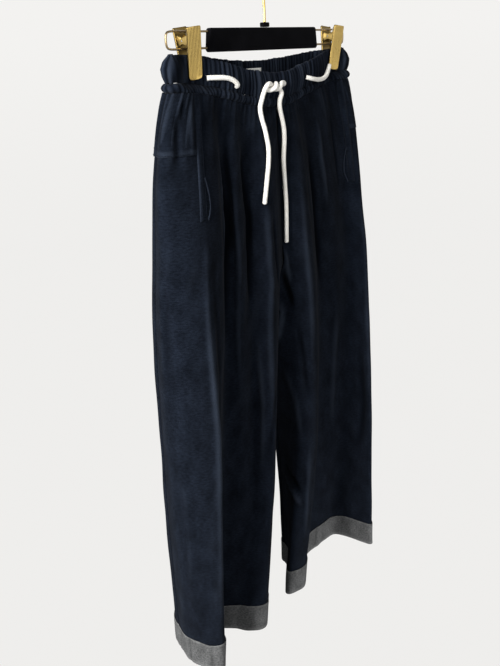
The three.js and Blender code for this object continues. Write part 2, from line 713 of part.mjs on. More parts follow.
// The jaw's plate, with upright ribs on its outer face, leaning out towards its top
function jawPlate() {
  const shape = new THREE.Shape();
  const x = JAW.width / 2;
  const pitch = JAW.width / RIB.count;
  shape.moveTo(-x, 0);
  for (let n = 0; n < RIB.count; n += 1) {
    const left = -x + n * pitch;
    shape.lineTo(left, -JAW.thickness);
    shape.lineTo(left + RIB.shoulder * pitch, -JAW.thickness - RIB.height);
    shape.lineTo(left + (1 - RIB.shoulder) * pitch, -JAW.thickness - RIB.height);
  }
  shape.lineTo(x, -JAW.thickness);
  shape.lineTo(x, 0);
  const plate = new THREE.ExtrudeGeometry(shape, { depth: JAW.length, bevelEnabled: false });
  return plate.rotateX(THREE.MathUtils.degToRad(JAW.leanDegrees)).translate(0, -CLIP_PINCH - GAP, JAW.foot);
}

function jaw(lugX, facing) {
  let solid = solidOf(jawPlate());
  for (const sign of [-1, 1]) {
    const lug = new THREE.BoxGeometry(LUG.thickness, LUG.reach - LUG.root, LUG.height);
    const x = sign * (lugX + LUG.thickness / 2);
    lug.translate(x, (LUG.reach + LUG.root) / 2, PIN.z);
    solid = solid.add(solidOf(lug));
  }
  const through = 2 * JAW.width;
  const bore = new THREE.CylinderGeometry(PIN.radius + GAP, PIN.radius + GAP, through, PIN.sides);
  bore.rotateZ(Math.PI / 2).translate(0, 0, PIN.z);
  const geometry = geometryOf(solid.subtract(solidOf(bore)));
  return facing === 'front' ? geometry : geometry.rotateZ(Math.PI);
}

function pin() {
  const length = 2 * (LUG.frontX + LUG.thickness + GAP);
  const geometry = new THREE.CylinderGeometry(PIN.radius, PIN.radius, length, PIN.sides);
  return geometry.rotateZ(Math.PI / 2).translate(0, 0, PIN.z);
}

function spring() {
  const half = SPRING.length / 2;
  const profile = [[SPRING.inner, -half], [SPRING.outer, -half], [SPRING.outer, half], [SPRING.inner, half],
    [SPRING.inner, -half]].map(([r, y]) => new THREE.Vector2(r, y));
  return new THREE.LatheGeometry(profile, PIN.sides).rotateZ(Math.PI / 2).translate(0, 0, PIN.z);
}

for (const [side, sign] of [['right', -1], ['left', 1]]) {
  const tilt = THREE.MathUtils.degToRad(sign * CLIP_TILT_DEGREES);
  add(`wire_loop_${side}`, wireLoop(sign), 'gold');
  const pieces = {
    clip_front_jaw: [jaw(LUG.frontX, 'front'), 'gold'],
    clip_back_jaw: [jaw(LUG.backX, 'back'), 'gold'],
    clip_pin: [pin(), 'steel'],
    clip_spring: [spring(), 'steel'],
  };
  for (const [name, [geometry, look]] of Object.entries(pieces)) {
    geometry.translate(0, 0, -PIN.z).rotateY(tilt).translate(CLIP_X[side], 0, PIN.z);
    add(`${name}_${side}`, geometry, look);
  }
}

export default part;
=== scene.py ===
"""Wide cropped trousers with an elastic waist, hung from a bar hanger by two clips.

Tables are in millimetres and become metres when a mesh is made. Left and right are the wearer's, the
front faces -Y, and the origin is where the hook bears on its rail.
"""

import logging
import math
from dataclasses import dataclass, field
from enum import Enum

import bpy
import numpy as np
from mathutils import Matrix, Vector


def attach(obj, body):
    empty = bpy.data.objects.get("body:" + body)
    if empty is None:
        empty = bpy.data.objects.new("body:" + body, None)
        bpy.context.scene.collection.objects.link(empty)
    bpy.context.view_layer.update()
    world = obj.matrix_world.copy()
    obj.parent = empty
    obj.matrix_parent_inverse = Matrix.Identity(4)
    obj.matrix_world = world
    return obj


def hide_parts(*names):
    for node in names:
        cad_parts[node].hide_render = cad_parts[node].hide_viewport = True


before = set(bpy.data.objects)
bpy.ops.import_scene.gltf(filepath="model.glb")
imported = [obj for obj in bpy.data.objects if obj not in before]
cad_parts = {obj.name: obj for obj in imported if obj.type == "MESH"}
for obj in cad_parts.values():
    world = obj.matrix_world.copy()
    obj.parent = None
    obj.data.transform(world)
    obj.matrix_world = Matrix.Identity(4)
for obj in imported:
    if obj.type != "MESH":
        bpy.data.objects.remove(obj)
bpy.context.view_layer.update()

LOG = logging.getLogger("trousers")
BODY = "root"
MM = 0.001
GAP = 0.3

Array = np.ndarray
Point = tuple[float, float, float]
Socket = bpy.types.NodeSocket
Material = bpy.types.Material
Piece = bpy.types.Object


class Side(Enum):
    """The wearer's side of a piece."""

    RIGHT = "right"
    LEFT = "left"

    @property
    def sign(self) -> int:
        """-1 on the right, which lies on the -X side, and 1 on the left."""
        return -1 if self is Side.RIGHT else 1


class Face(Enum):
    """The front or the back of the garment."""

    FRONT = "front"
    BACK = "back"

    @property
    def sign(self) -> int:
        """1 at the front and -1 at the back."""
        return 1 if self is Face.FRONT else -1


def clamp01(value: Array | float) -> Array | float:
    """The value kept from 0 to 1."""
    return np.clip(value, 0.0, 1.0)


def smooth(value: Array | float) -> Array | float:
    """An eased step from 0 to 1."""
    t = clamp01(value)
    return t * t * (3 - 2 * t)


def lerp(start: Array | float, end: Array | float, share: Array | float) -> Array | float:
    """The value a share of the way from start to end."""
    return start + (end - start) * share


def run_of(line: Array) -> Array:
    """How far each point lies along its line, whose points follow the first axis."""
    steps = np.linalg.norm(np.diff(line, axis=0), axis=-1)
    return np.concatenate([np.zeros((1, *steps.shape[1:])), np.cumsum(steps, axis=0)])


def hermite(p0: Array, p1: Array, m0: Array, m1: Array, t: Array) -> Array:
    """A cubic from p0 to p1 that leaves along m0 and arrives along m1."""
    t2 = t * t
    t3 = t2 * t
    return (2 * t3 - 3 * t2 + 1) * p0 + (t3 - 2 * t2 + t) * m0 + (3 * t2 - 2 * t3) * p1 + (t3 - t2) * m1


# Finishes

# A wave pattern repeats this many units apart at a scale of 1
WAVE_UNIT = math.tau / 20


class Nodes:
    """A material's node tree, built step by step."""

    def __init__(self, name: str) -> None:
        """Starts an empty tree with a shader and an output.

        Args:
            name: The material's name.
        """
        self.material = bpy.data.materials.new(name)
        self.material.use_nodes = True
        self.tree = self.material.node_tree
        self.tree.nodes.clear()
        self.shader = self.add("ShaderNodeBsdfPrincipled")
        output = self.add("ShaderNodeOutputMaterial")
        self.link(self.shader.outputs["BSDF"], output.inputs["Surface"])

    def add(self, kind: str, **values: object) -> bpy.types.Node:
        """Adds a node.

        Args:
            kind: The node's type.
            values: Its inputs by name with spaces as underscores, or its settings in lower case.

        Returns:
            The node.
        """
        node = self.tree.nodes.new(kind)
        for key, value in values.items():
            if hasattr(node, key) and not key[0].isupper():
                setattr(node, key, value)
            else:
                node.inputs[key.replace("_", " ")].default_value = value
        return node

    def link(self, start: Socket, end: Socket) -> None:
        """Joins an output to an input."""
        self.tree.links.new(start, end)

    def feed(self, socket: Socket, value: object) -> None:
        """Gives an input a link, a colour or a number.

        Args:
            socket: The input.
            value: A socket to link, a colour or a number.
        """
        if isinstance(value, Socket):
            self.link(value, socket)
        else:
            socket.default_value = (*value, 1.0) if isinstance(value, tuple) else value

    def mapped(self, source: str, scale: Point = (1.0, 1.0, 1.0), turn: float = 0.0) -> Socket:
        """Coordinates, scaled and turned.

        Args:
            source: Either "UV" or "Object".
            scale: How many pattern units there are to a metre, along each axis.
            turn: Turn about Z in degrees.

        Returns:
            The vector socket.
        """
        coordinates = self.add("ShaderNodeTexCoord")
        mapping = self.add("ShaderNodeMapping", Scale=scale, Rotation=(0.0, 0.0, math.radians(turn)))
        self.link(coordinates.outputs[source], mapping.inputs["Vector"])
        return mapping.outputs["Vector"]

    def noise(self, vector: Socket, scale: float, detail: float = 3.0) -> Socket:
        """A cloud pattern.

        Args:
            vector: The coordinates.
            scale: How fine it is.
            detail: How many finer patterns lie over it.

        Returns:
            The factor socket.
        """
        node = self.add("ShaderNodeTexNoise", Scale=scale, Detail=detail)
        self.link(vector, node.inputs["Vector"])
        return node.outputs["Fac"]

    def waves(self, vector: Socket, scale: float, distortion: float) -> Socket:
        """Parallel lines across X.

        Args:
            vector: The coordinates.
            scale: How close they are.
            distortion: How far they waver.

        Returns:
            The factor socket.
        """
        node = self.add("ShaderNodeTexWave", Scale=scale, Distortion=distortion)
        self.link(vector, node.inputs["Vector"])
        return node.outputs["Fac"]

    def ramp(self, factor: Socket, stops: dict[float, tuple]) -> Socket:
        """Colours along a factor.

        Args:
            factor: The factor.
            stops: The colour at each place.

        Returns:
            The colour socket.
        """
        node = self.add("ShaderNodeValToRGB")
        elements = node.color_ramp.elements
        while len(elements) < len(stops):
            elements.new(0.5)
        for element, (place, colour) in zip(elements, sorted(stops.items())):
            element.position = place
            element.color = (*colour, 1.0)
        self.link(factor, node.inputs["Fac"])
        return node.outputs["Color"]

    def mix(self, factor: Socket | float, first: object, second: object, blend: str = "MIX") -> Socket:
        """Two colours mixed.

        Args:
            factor: The second one's share.
            first: A socket or a colour.
            second: A socket or a colour.
            blend: How they mix.

        Returns:
            The colour socket.
        """
        node = self.add("ShaderNodeMix", data_type="RGBA", blend_type=blend)
        for number, value in ((0, factor), (6, first), (7, second)):
            self.feed(node.inputs[number], value)
        return node.outputs[2]

    def math(self, operation: str, first: object, second: object) -> Socket:
        """A sum of two numbers.

        Args:
            operation: The sum.
            first: A socket or a number.
            second: A socket or a number.

        Returns:
            The result socket.
        """
        node = self.add("ShaderNodeMath", operation=operation)
        for socket, value in zip(node.inputs, (first, second)):
            self.feed(socket, value)
        return node.outputs[0]

    def bump(self, height: Socket, strength: float, distance: float) -> None:
        """Raises the surface by a height pattern, after any bump already there.

        Args:
            height: The pattern.
            strength: How strongly it shades.
            distance: Its height in metres.
        """
        node = self.add("ShaderNodeBump", Strength=strength, Distance=distance)
        self.link(height, node.inputs["Height"])
        before = self.shader.inputs["Normal"].links
        if before:
            self.link(before[0].from_socket, node.inputs["Normal"])
        self.link(node.outputs["Normal"], self.shader.inputs["Normal"])

    def set(self, **values: float) -> None:
        """Sets the shader's own numbers."""
        for key, value in values.items():
            self.shader.inputs[key.replace("_", " ")].default_value = value


@dataclass(frozen=True)
class Twill:
    """Soft twill: slanting ribs, a fine nap, faint clouding, ridges with wear and a painted highlight, and
    painted shade in the fold hollows.

    Args:
        name: The material's name.
        dark: Colour in the hollows of the weave.
        light: Colour of the raised threads.
        wear_and_highlight_colour: Colour where ridges have been rubbed.
        cloud: How strongly the colour clouds.
        slub: How strongly thick threads show.
        rib_pitch: Metres from rib to rib.
        sheen: How much the nap catches light.
        rib_slant: The ribs' slant in degrees.
        cloud_scale: How fine the clouding is.
        thread_scale: How fine the threads are.
        nap_scale: How fine the nap is.
        thread_run: How fast the threads change across and down the cloth.
    """

    name: str
    dark: Point
    light: Point
    wear_and_highlight_colour: Point
    cloud: float = 0.75
    slub: float = 0.0
    rib_pitch: float = 0.0011
    sheen: float = 0.02
    rib_slant: float = 62.0
    cloud_scale: float = 55.0
    thread_scale: float = 620.0
    nap_scale: float = 1500.0
    thread_run: tuple[float, float] = (1.0, 0.09)

    def make(self) -> Material:
        """Builds the material on the piece's own UV map, which is in metres.

        Returns:
            The material.
        """
        nodes = Nodes(self.name)
        weave = nodes.mapped("UV", turn=self.rib_slant)
        ribs = nodes.waves(weave, WAVE_UNIT / self.rib_pitch, 0.6)
        place = nodes.mapped("UV", (1.0, 0.55, 1.0))
        clouds = nodes.noise(place, self.cloud_scale, 5.0)
        threads = nodes.noise(nodes.mapped("UV", (*self.thread_run, 1.0)), self.thread_scale, 3.0)
        nap = nodes.noise(nodes.mapped("UV"), self.nap_scale, 2.0)
        base = nodes.mix(nodes.math("MULTIPLY", ribs, 0.55), self.dark, self.light)
        cloudy = nodes.ramp(clouds, {0.3: (1 - self.cloud * 0.5,) * 3, 0.72: (1 + self.cloud * 0.35,) * 3})
        base = nodes.mix(1.0, base, cloudy, "MULTIPLY")
        if self.slub:
            thick = nodes.ramp(threads, {0.34: (1 - self.slub,) * 3, 0.66: (1 + self.slub * 0.6,) * 3})
            base = nodes.mix(1.0, base, thick, "MULTIPLY")
        # Painted shade: marked fold troughs darken towards 0.3 of the hollow colour, where shade falls.
        painted_shade = nodes.add("ShaderNodeAttribute", attribute_name="painted_shade")
        base = nodes.mix(painted_shade.outputs["Fac"], base, tuple(0.3 * c for c in self.dark))
        # Wear and painted highlight: marked ridges and edges lighten towards the wear-and-highlight colour,
        # broken up by the nap.
        wear_and_highlight = nodes.add("ShaderNodeAttribute", attribute_name="wear_and_highlight")
        wear_and_highlight_share = nodes.math("MULTIPLY", wear_and_highlight.outputs["Fac"], nodes.math("MULTIPLY", nap, 0.9))
        nodes.link(nodes.mix(wear_and_highlight_share, base, self.wear_and_highlight_colour), nodes.shader.inputs["Base Color"])
        rough = nodes.ramp(clouds, {0.3: (0.86,) * 3, 0.7: (0.95,) * 3})
        nodes.link(rough, nodes.shader.inputs["Roughness"])
        nodes.set(Sheen_Weight=self.sheen, Sheen_Roughness=0.55, Specular_IOR_Level=0.0)
        nodes.bump(clouds, 0.25, 0.0012)
        nodes.bump(nodes.math("ADD", ribs, nodes.math("MULTIPLY", threads, 1.2)), 0.35, 0.00025)
        nodes.bump(nap, 0.3, 0.00015)
        return nodes.material


@dataclass(frozen=True)
class BraidedCord:
    """Braided cotton cord: crossing strands that lean round it.

    Args:
        strands: Strands that cross each way round the cord.
        girth: The cord's girth in metres, by which its UV map runs.
        lean: How far the strands lean from the cord's run, in degrees.
    """

    name: str = "cotton_cord"
    strands: float = 7.0
    girth: float = 0.0188
    lean: float = 48.0
    light: Point = (0.93, 0.905, 0.85)
    dark: Point = (0.80, 0.765, 0.69)

    def make(self) -> Material:
        """Builds the material on the cord's UV map, which is in metres along and round it.

        Returns:
            The material.
        """
        nodes = Nodes(self.name)
        scale = WAVE_UNIT * self.strands / self.girth
        one = nodes.waves(nodes.mapped("UV", turn=self.lean), scale, 0.4)
        other = nodes.waves(nodes.mapped("UV", turn=-self.lean), scale, 0.4)
        braid = nodes.math("MAXIMUM", one, other)
        soil = nodes.noise(nodes.mapped("UV"), 120.0, 4.0)
        colour = nodes.mix(braid, self.dark, self.light)
        shade = nodes.ramp(soil, {0.3: (0.9, 0.89, 0.86), 0.6: (1.0, 1.0, 1.0)})
        nodes.link(nodes.mix(1.0, colour, shade, "MULTIPLY"), nodes.shader.inputs["Base Color"])
        fuzz = nodes.noise(nodes.mapped("UV", (1.0, 0.3, 1.0)), 2400.0, 2.0)
        nodes.set(Roughness=0.9, Sheen_Weight=0.2, Specular_IOR_Level=0.2)
        nodes.bump(braid, 0.28, 0.0004)
        nodes.bump(fuzz, 0.3, 0.0002)
        return nodes.material


@dataclass(frozen=True)
class Plating:
    """Plated metal with brushed lines along Z, a few tarnished spots, and painted shade in its hollows."""

    name: str
    colour: Point
    tarnish_and_shade: Point
    roughness: float = 0.34
    brush: float = 900.0

    def make(self) -> Material:
        """Builds the material on object coordinates.

        Returns:
            The material.
        """
        nodes = Nodes(self.name)
        lines = nodes.noise(nodes.mapped("Object", (1.0, 1.0, 0.02)), self.brush, 3.0)
        stain = nodes.noise(nodes.mapped("Object", (1.0, 1.0, 0.5)), 130.0, 4.0)
        spots = nodes.ramp(stain, {0.5: (0.0,) * 3, 0.78: (0.35,) * 3})
        # Painted shade: marked hollows and inner faces darken towards 0.3 of the spots' colour.
        painted_shade = nodes.add("ShaderNodeAttribute", attribute_name="painted_shade")
        plate = nodes.mix(spots, self.colour, self.tarnish_and_shade)
        plate = nodes.mix(painted_shade.outputs["Fac"], plate, tuple(0.3 * c for c in self.tarnish_and_shade))
        nodes.link(plate, nodes.shader.inputs["Base Color"])
        rough = nodes.math("MULTIPLY_ADD", lines, 0.25)
        nodes.tree.nodes[-1].inputs[2].default_value = self.roughness - 0.12
        nodes.link(rough, nodes.shader.inputs["Roughness"])
        nodes.set(Metallic=1.0, Anisotropic=0.4)
        nodes.bump(lines, 0.12, 0.0002)
        return nodes.material


@dataclass(frozen=True)
class Flock:
    """Black flocking: a matt pile with a faint bloom and patches of wear."""

    name: str = "black_flocking"
    pile: Point = (0.0016, 0.0016, 0.0022)
    bloom: Point = (0.0036, 0.0036, 0.0046)

    def make(self) -> Material:
        """Builds the material on object coordinates.

        Returns:
            The material.
        """
        nodes = Nodes(self.name)
        grain = nodes.noise(nodes.mapped("Object"), 1900.0, 2.0)
        patches = nodes.noise(nodes.mapped("Object"), 32.0, 4.0)
        spread = nodes.ramp(patches, {0.35: (0.0,) * 3, 0.68: (1.0,) * 3})
        nodes.link(nodes.mix(spread, self.pile, self.bloom), nodes.shader.inputs["Base Color"])
        nodes.set(Roughness=0.88, Sheen_Weight=0.02, Sheen_Roughness=0.5, Specular_IOR_Level=0.01)
        nodes.bump(grain, 0.4, 0.0002)
        return nodes.material


@dataclass(frozen=True)
class Tape:
    """Plain woven white tape: fine crossing threads."""

    name: str = "white_tape"
    light: Point = (0.88, 0.87, 0.83)
    dark: Point = (0.72, 0.71, 0.67)
    pitch: float = 0.0006

    def make(self) -> Material:
        """Builds the material on the piece's own UV map, which is in metres.

        Returns:
            The material.
        """
        nodes = Nodes(self.name)
        scale = WAVE_UNIT / self.pitch
        across = nodes.waves(nodes.mapped("UV"), scale, 0.2)
        along = nodes.waves(nodes.mapped("UV", turn=90.0), scale, 0.2)
        weave = nodes.math("MULTIPLY", across, along)
        nodes.link(nodes.mix(weave, self.dark, self.light), nodes.shader.inputs["Base Color"])
        nodes.set(Roughness=0.8, Sheen_Weight=0.1)
        nodes.bump(weave, 0.4, 0.0001)
        return nodes.material


@dataclass(frozen=True)
class Thread:
    """Sewing thread: a twisted strand."""

    name: str = "navy_thread"
    colour: Point = (0.0090, 0.0120, 0.0190)
    dark: Point = (0.0040, 0.0055, 0.0090)

    def make(self) -> Material:
        """Builds the material on object coordinates.

        Returns:
            The material.
        """
        nodes = Nodes(self.name)
        twist = nodes.noise(nodes.mapped("Object"), 2600.0, 2.0)
        nodes.link(nodes.mix(twist, self.dark, self.colour), nodes.shader.inputs["Base Color"])
        nodes.set(Roughness=0.8, Specular_IOR_Level=0.02)
        nodes.bump(twist, 0.4, 0.0001)
        return nodes.material


class Finishes:
    """Every material of the object, made once."""

    def __init__(self) -> None:
        """Makes the materials."""
        self.navy = Twill(
            "navy_twill", (0.0044, 0.0061, 0.0101), (0.0112, 0.0150, 0.0232), (0.033, 0.042, 0.060),
            slub=0.34, thread_run=(0.3, 0.8),
        ).make()
        self.band = Twill(
            "navy_gathered_twill", (0.0038, 0.0054, 0.0094), (0.0098, 0.0134, 0.0220), (0.046, 0.058, 0.082)
        ).make()
        self.reverse = Twill(
            "grey_reverse_twill", (0.068, 0.069, 0.070), (0.168, 0.168, 0.165), (0.20, 0.20, 0.196),
            cloud=0.6, slub=0.4, rib_pitch=0.0013, sheen=0.03, thread_run=(0.5, 0.75),
        ).make()
        self.cord = BraidedCord().make()
        self.tape = Tape().make()
        self.thread = Thread().make()
        self.gold = Plating("gold_plating", (0.50, 0.355, 0.115), (0.33, 0.22, 0.068), 0.3).make()
        self.bronze = Plating("bronze_wire", (0.24, 0.18, 0.10), (0.12, 0.085, 0.045), 0.36).make()
        self.steel = Plating("dark_steel", (0.24, 0.22, 0.19), (0.10, 0.085, 0.07)).make()
        self.flock = Flock().make()


# Meshes


def add_piece(name: str, mesh: bpy.types.Mesh, slot: str) -> Piece:
    """Puts a finished mesh in the scene, smooth and riding on the garment's body.

    Args:
        name: The piece's name.
        mesh: Its mesh.
        slot: Not used.

    Returns:
        The piece.
    """
    mesh.polygons.foreach_set("use_smooth", [True] * len(mesh.polygons))
    piece = bpy.data.objects.new(name, mesh)
    bpy.context.scene.collection.objects.link(piece)
    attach(piece, BODY)
    LOG.info("%s: %d faces", name, len(mesh.polygons))
    return piece


def mesh_object(name: str, points: Array, faces: list, material: Material, slot: str) -> Piece:
    """A piece made of points and faces.

    Args:
        name: The piece's name.
        points: Its points in millimetres, one row each.
        faces: Its faces, as tuples of point numbers.
        material: Its finish.
        slot: The record's material slot.

    Returns:
        The piece.
    """
    mesh = bpy.data.meshes.new(name)
    mesh.from_pydata((np.asarray(points).reshape(-1, 3) * MM).tolist(), [], faces)
    mesh.materials.append(material)
    mesh.update()
    return add_piece(name, mesh, slot)


def grid_faces(columns: int, rows: int, ring: bool = False, tube: bool = False, flip: bool = False) -> list:
    """Four-sided faces of a grid stored column by column.

    Args:
        columns: Points along the first way.
        rows: Points along the second way.
        ring: Whether the last column meets the first.
        tube: Whether the last row meets the first.
        flip: Whether the faces are turned over.

    Returns:
        The faces.
    """
    faces = []
    for i in range(columns if ring else columns - 1):
        for j in range(rows if tube else rows - 1):
            across = (i + 1) % columns
            down = (j + 1) % rows
            face = (i * rows + j, across * rows + j, across * rows + down, i * rows + down)
            faces.append(face[::-1] if flip else face)
    return faces


def paint_uv(piece: Piece, coordinates: Array) -> None:
    """Gives a piece a UV map in metres.

    Args:
        piece: The mesh object.
        coordinates: One row of two millimetre values for each point.
    """
    mesh = piece.data
    layer = mesh.uv_layers.new(name="cloth")
    corners = np.zeros(len(mesh.loops), dtype=np.int32)
    mesh.loops.foreach_get("vertex_index", corners)
    layer.uv.foreach_set("vector", (coordinates.reshape(-1, 2)[corners] * MM).ravel().tolist())


def paint(piece: Piece, name: str, values: Array) -> None:
    """Gives each point of a piece a number from 0 to 1: how much wear and painted highlight it takes, or how
    much painted shade.
    """
    attribute = piece.data.attributes.new(name, "FLOAT", "POINT")
    attribute.data.foreach_set("value", clamp01(np.asarray(values, dtype=float)).ravel().tolist())


# Rises in millimetres at which the ridges' wear and painted highlight and the troughs' painted shade begin,
# and over how much rise each grows.
WEAR_AND_HIGHLIGHT_FROM, WEAR_AND_HIGHLIGHT_SPAN = 0.4, 3.5
PAINTED_SHADE_FROM, PAINTED_SHADE_SPAN = -0.1, 3.4
PLACE_STEP = np.array([0.0, 0.01])
SHARE_STEP = np.array([0.0, 1e-3])


def shade_folds(piece: Piece, rise: Array, extra: Array | float = 0.0) -> None:
    """Paints wear and a highlight on a cloth's ridges, with any extra, and painted shade in its troughs."""
    paint(piece, "wear_and_highlight", extra + (rise - WEAR_AND_HIGHLIGHT_FROM) / WEAR_AND_HIGHLIGHT_SPAN)
    paint(piece, "painted_shade", (PAINTED_SHADE_FROM - rise) / PAINTED_SHADE_SPAN)


def thicken(piece: Piece, thickness: float, lining: Material | None = None) -> None:
    """Gives an open shell its thickness, inwards.

    Args:
        piece: The shell.
        thickness: In millimetres.
        lining: The finish of the inner face, if it is another.
    """
    wall = piece.modifiers.new("wall", "SOLIDIFY")
    wall.thickness = thickness * MM
    wall.offset = -1.0
    wall.use_even_offset = False
    if lining:
        piece.data.materials.append(lining)
        wall.material_offset = 1


def clouds(across: Array, down: Array, seed: int, shortest: float, longest: float) -> Array:
    """A soft uneven height from -1 to 1, made of waves of several lengths.

    Args:
        across: Place across the cloth in millimetres.
        down: Place down the cloth in millimetres.
        seed: Picks the waves.
        shortest: The shortest wave in millimetres.
        longest: The longest wave in millimetres.

    Returns:
        The height at each place.
    """
    dice = np.random.default_rng(seed)
    height = np.zeros(np.broadcast(across, down).shape)
    waves = 22
    for _ in range(waves):
        length = shortest * (longest / shortest) ** dice.random()
        heading = dice.normal(0.0, 0.45)
        turn = math.tau / length
        height += np.sin(
            turn * (math.cos(heading) * across + math.sin(heading) * down * 0.6) + math.tau * dice.random()
        )
    return height / math.sqrt(waves)


# The garment's form


@dataclass(frozen=True)
class Fold:
    """A crest or valley line down a leg panel.

    Args:
        name: What the line is.
        x: Its X at the waist, hip, knee and hem levels.
        y: Its Y at the same levels.
        flare: How fast its X opens below the waist.
    """

    name: str
    x: tuple[float, float, float, float]
    y: tuple[float, float, float, float]
    flare: float = 1.8


SIDE_FLARE = 3.0

FOLDS: dict[tuple[Side, Face], list[Fold]] = {
    (Side.RIGHT, Face.FRONT): [
        Fold("side", (-178.5, -210, -220, -218), (-4, 4, 4, 2), SIDE_FLARE),
        Fold("lit side", (-165, -193, -207, -213), (-12, -22, -28, -33)),
        Fold("outer crest", (-137, -162, -179, -200), (-9, -36, -47, -50)),
        Fold("side ridge", (-120, -136, -159, -180), (-12, -31, -29, -32)),
        Fold("outer valley", (-101, -102, -124, -148), (-10, -9, -2, 13)),
        Fold("middle ridge", (-87, -90, -98, -127), (-15, -19, -13, -6)),
        Fold("inner valley", (-59, -57, -72, -115), (-13, -11, -19, -30)),
        Fold("inner crest", (-36, -40, -56, -96), (-19, -34, -40, -43)),
        Fold("thigh", (-18, -16, -31, -63), (-18, -27, -20, -14)),
    ],
    (Side.LEFT, Face.FRONT): [
        Fold("side", (181.5, 209, 221, 223), (-4, -2, -13, -12), SIDE_FLARE),
        Fold("outer crest", (166, 186, 190, 195), (-13, -33, -49, -56)),
        Fold("outer valley", (132, 171, 184, 174), (-7, -13, -12, 16)),
        Fold("front panel", (95, 136, 152, 130), (-12, -15, 0, 19)),
        Fold("inner valley", (52, 96, 118, 84), (-13, -10, 6, 18)),
        Fold("inner crest", (20, 38, 45, 17), (-20, -35, -36, -31)),
        Fold("thigh", (8, 24, 32, -9), (-18, -26, -26, -24)),
    ],
    (Side.RIGHT, Face.BACK): [
        Fold("outer crest", (-164, -162, -168, -168), (16, 57, 64, 71)),
        Fold("outer valley", (-136, -132, -134, -134), (9, 46, 52, 56)),
        Fold("seat crest", (-95, -92, -98, -102), (15, 63, 72, 76)),
        Fold("seat valley", (-50, -52, -60, -66), (18, 50, 56, 58)),
    ],
    (Side.LEFT, Face.BACK): [
        Fold("outer crest", (166, 172, 178, 183), (16, 58, 64, 70)),
        Fold("outer valley", (136, 136, 142, 150), (9, 46, 52, 56)),
        Fold("seat crest", (95, 96, 104, 116), (15, 63, 68, 74)),
        Fold("seat valley", (50, 54, 70, 84), (18, 50, 52, 57)),
    ],
}
OUTSEAM: dict[Side, Fold] = {
    Side.RIGHT: Fold("outseam", (-179, -201, -212, -209), (4, 26, 30, 32), SIDE_FLARE),
    Side.LEFT: Fold("outseam", (182, 205, 216, 217), (4, 27, 30, 34), SIDE_FLARE),
}


@dataclass(frozen=True)
class Crease:
    """A soft trough or ridge laid on a leg panel.

    Args:
        places: Its fold places, from its top to its foot.
        levels: Its heights there in millimetres.
        width: Half its width in millimetres.
        height: Its rise in millimetres, below zero for a trough.
    """

    places: tuple[float, ...]
    levels: tuple[float, ...]
    width: float
    height: float


